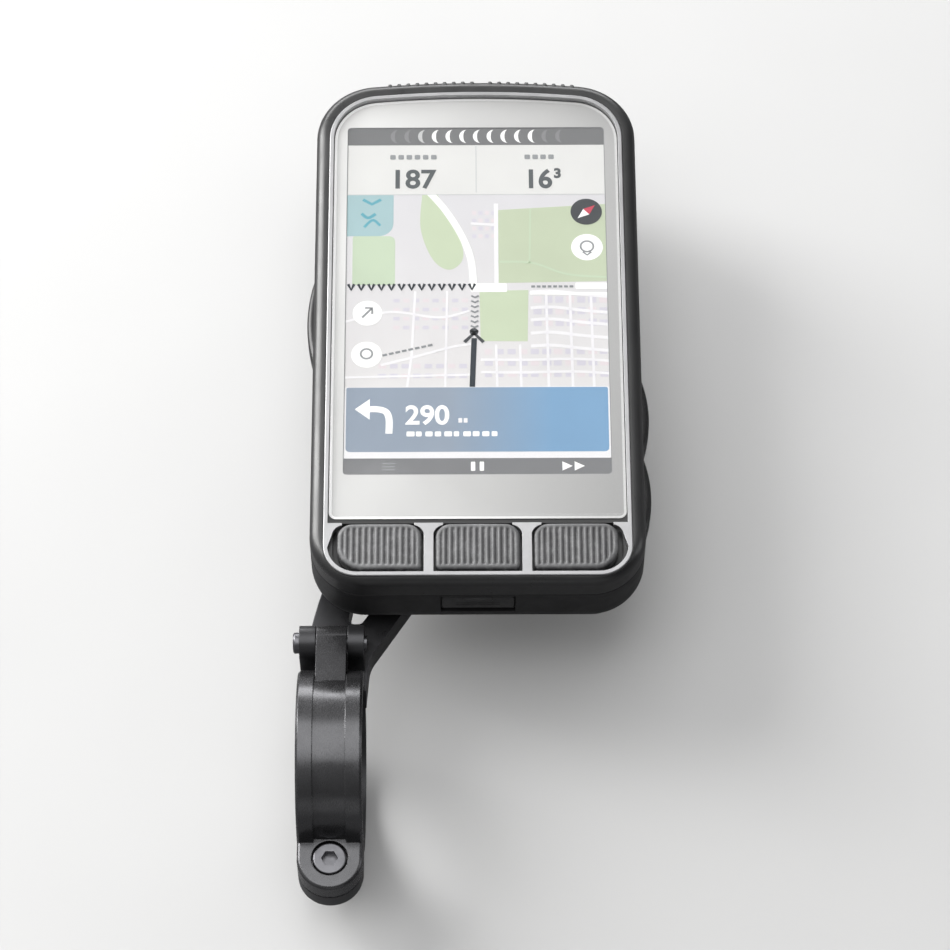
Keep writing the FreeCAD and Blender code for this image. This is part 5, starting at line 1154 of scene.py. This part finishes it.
def port_cover():
    bar = [[at(x, y, z) for y, z in disc(HINGE_Y, HINGE_Z, radius, 28)]
           for x, radius in HINGE_BAR]
    web = [[at(x, HINGE_Y - 0.18 + y * half, HINGE_Z + z) for y, z in WEB_SECTION]
           for x, half in WEB]
    parts = [
        upright(7.55, 8.15, 13.1, radius=0.85, stations=FLAP),
        upright(3.1, 12.02, 12.74, radius=0.32, stations=LIP, steps=6),
        upright(4.6, 9.7, 9.98, radius=0.13, stations=RIB, steps=4),
        upright(4.6, 10.5, 10.78, radius=0.13, stations=RIB, steps=4),
        upright(4.1, 9.2, 11.6, radius=1.18, stations=PLUG),
        bar,
        web,
    ]
    cover = skins("port_cover_rubber", parts, "cover_rubber", smooth=40.0,
                  body="port_cover_body")
    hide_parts("port_cover")


port_cover()

# ------------------------------------------------------------------ studio (metres from here on)
FLOOR_SIZE = 30.0
LIGHT_TARGET = (0.028, 0.06, 0.0)
CAMERA_DISTANCE = 0.80
CAMERA_ELEVATION = math.radians(59.5)
CAMERA_TARGET = (0.0300, 0.0635, 0.0075)


def build_floor():
    bpy.ops.mesh.primitive_plane_add(size=1.0)
    floor = bpy.context.active_object
    floor.name = "floor"
    floor.data.transform(Matrix.Diagonal((FLOOR_SIZE, FLOOR_SIZE, 1.0, 1.0)))
    floor.location = (0.03, 0.09, -0.0193)
    floor.data.materials.append(MATERIALS["floor"])


def build_world():
    """Soft light, brightest high on the front left; the camera sees a plain backdrop."""
    world = bpy.data.worlds.new("studio")
    scene.world = world
    world.use_nodes = True
    add, link = world.node_tree.nodes.new, world.node_tree.links.new
    world.node_tree.nodes.clear()
    output = add("ShaderNodeOutputWorld")
    light = add("ShaderNodeBackground")
    direction = add("ShaderNodeTexCoord")
    facing = add("ShaderNodeVectorMath")
    facing.operation = "DOT_PRODUCT"
    facing.inputs[1].default_value = (-0.60, 0.45, 0.66)  # toward the bright side
    link(direction.outputs["Generated"], facing.inputs[0])
    ramp = add("ShaderNodeValToRGB")
    stops = ((0.30, (0.075, 0.075, 0.077, 1)), (0.95, (1.0, 1.0, 1.0, 1)))
    for element, (position, colour) in zip(ramp.color_ramp.elements, stops):
        element.position = position
        element.color = colour
    share = add("ShaderNodeMapRange")
    share.inputs["From Min"].default_value = -1.0
    share.inputs["From Max"].default_value = 1.0
    link(facing.outputs["Value"], share.inputs["Value"])
    link(share.outputs["Result"], ramp.inputs[0])
    link(ramp.outputs[0], light.inputs["Color"])
    light.inputs["Strength"].default_value = 0.62
    backdrop = add("ShaderNodeBackground")
    backdrop.inputs["Color"].default_value = BACKDROP
    backdrop.inputs["Strength"].default_value = 1.0
    path = add("ShaderNodeLightPath")
    pick = add("ShaderNodeMixShader")
    link(path.outputs["Is Camera Ray"], pick.inputs[0])
    link(light.outputs[0], pick.inputs[1])
    link(backdrop.outputs[0], pick.inputs[2])
    link(pick.outputs[0], output.inputs[0])


def place_facing(thing, location, target):
    thing.location = location
    thing.rotation_mode = "QUATERNION"
    toward = Vector(target) - Vector(location)
    thing.rotation_quaternion = toward.to_track_quat("-Z", "Y")


def lamp(name, location, energy, size, colour=(1, 1, 1)):
    light = bpy.data.lights.new(name, "AREA")
    light.shape = "RECTANGLE"
    light.size, light.size_y = size
    light.energy = energy
    light.color = colour
    holder = bpy.data.objects.new(name, light)
    scene.collection.objects.link(holder)
    holder.visible_camera = False
    place_facing(holder, location, LIGHT_TARGET)


def build_camera():
    camera = bpy.data.cameras.new("camera")
    holder = bpy.data.objects.new("camera", camera)
    scene.collection.objects.link(holder)
    offset = Vector((-0.002, -math.cos(CAMERA_ELEVATION) * CAMERA_DISTANCE,
                     math.sin(CAMERA_ELEVATION) * CAMERA_DISTANCE))
    place_facing(holder, at(0, 0, 10) + offset, CAMERA_TARGET)
    camera.sensor_width = 36.0
    camera.lens = 140.0
    camera.clip_start, camera.clip_end = 0.01, 50.0
    scene.camera = holder


build_floor()
build_world()
lamp("key_left", (-0.78, 0.55, 0.50), energy=14.5, size=(0.45, 1.0), colour=(1.0, 0.995, 0.985))
lamp("strip_far", (-0.12, 1.05, 0.27), energy=6.0, size=(1.1, 0.3))
lamp("overhead", (-0.10, 0.12, 1.5), energy=8.5, size=(1.3, 1.0))
lamp("edge_right", (0.85, 0.15, 0.30), energy=0.7, size=(0.25, 0.6), colour=(0.98, 0.99, 1.0))
lamp("fill_rider", (0.25, -1.05, 0.16), energy=0.5, size=(0.9, 0.4))
build_camera()
scene.view_settings.view_transform = "Standard"
scene.view_settings.look = "None"
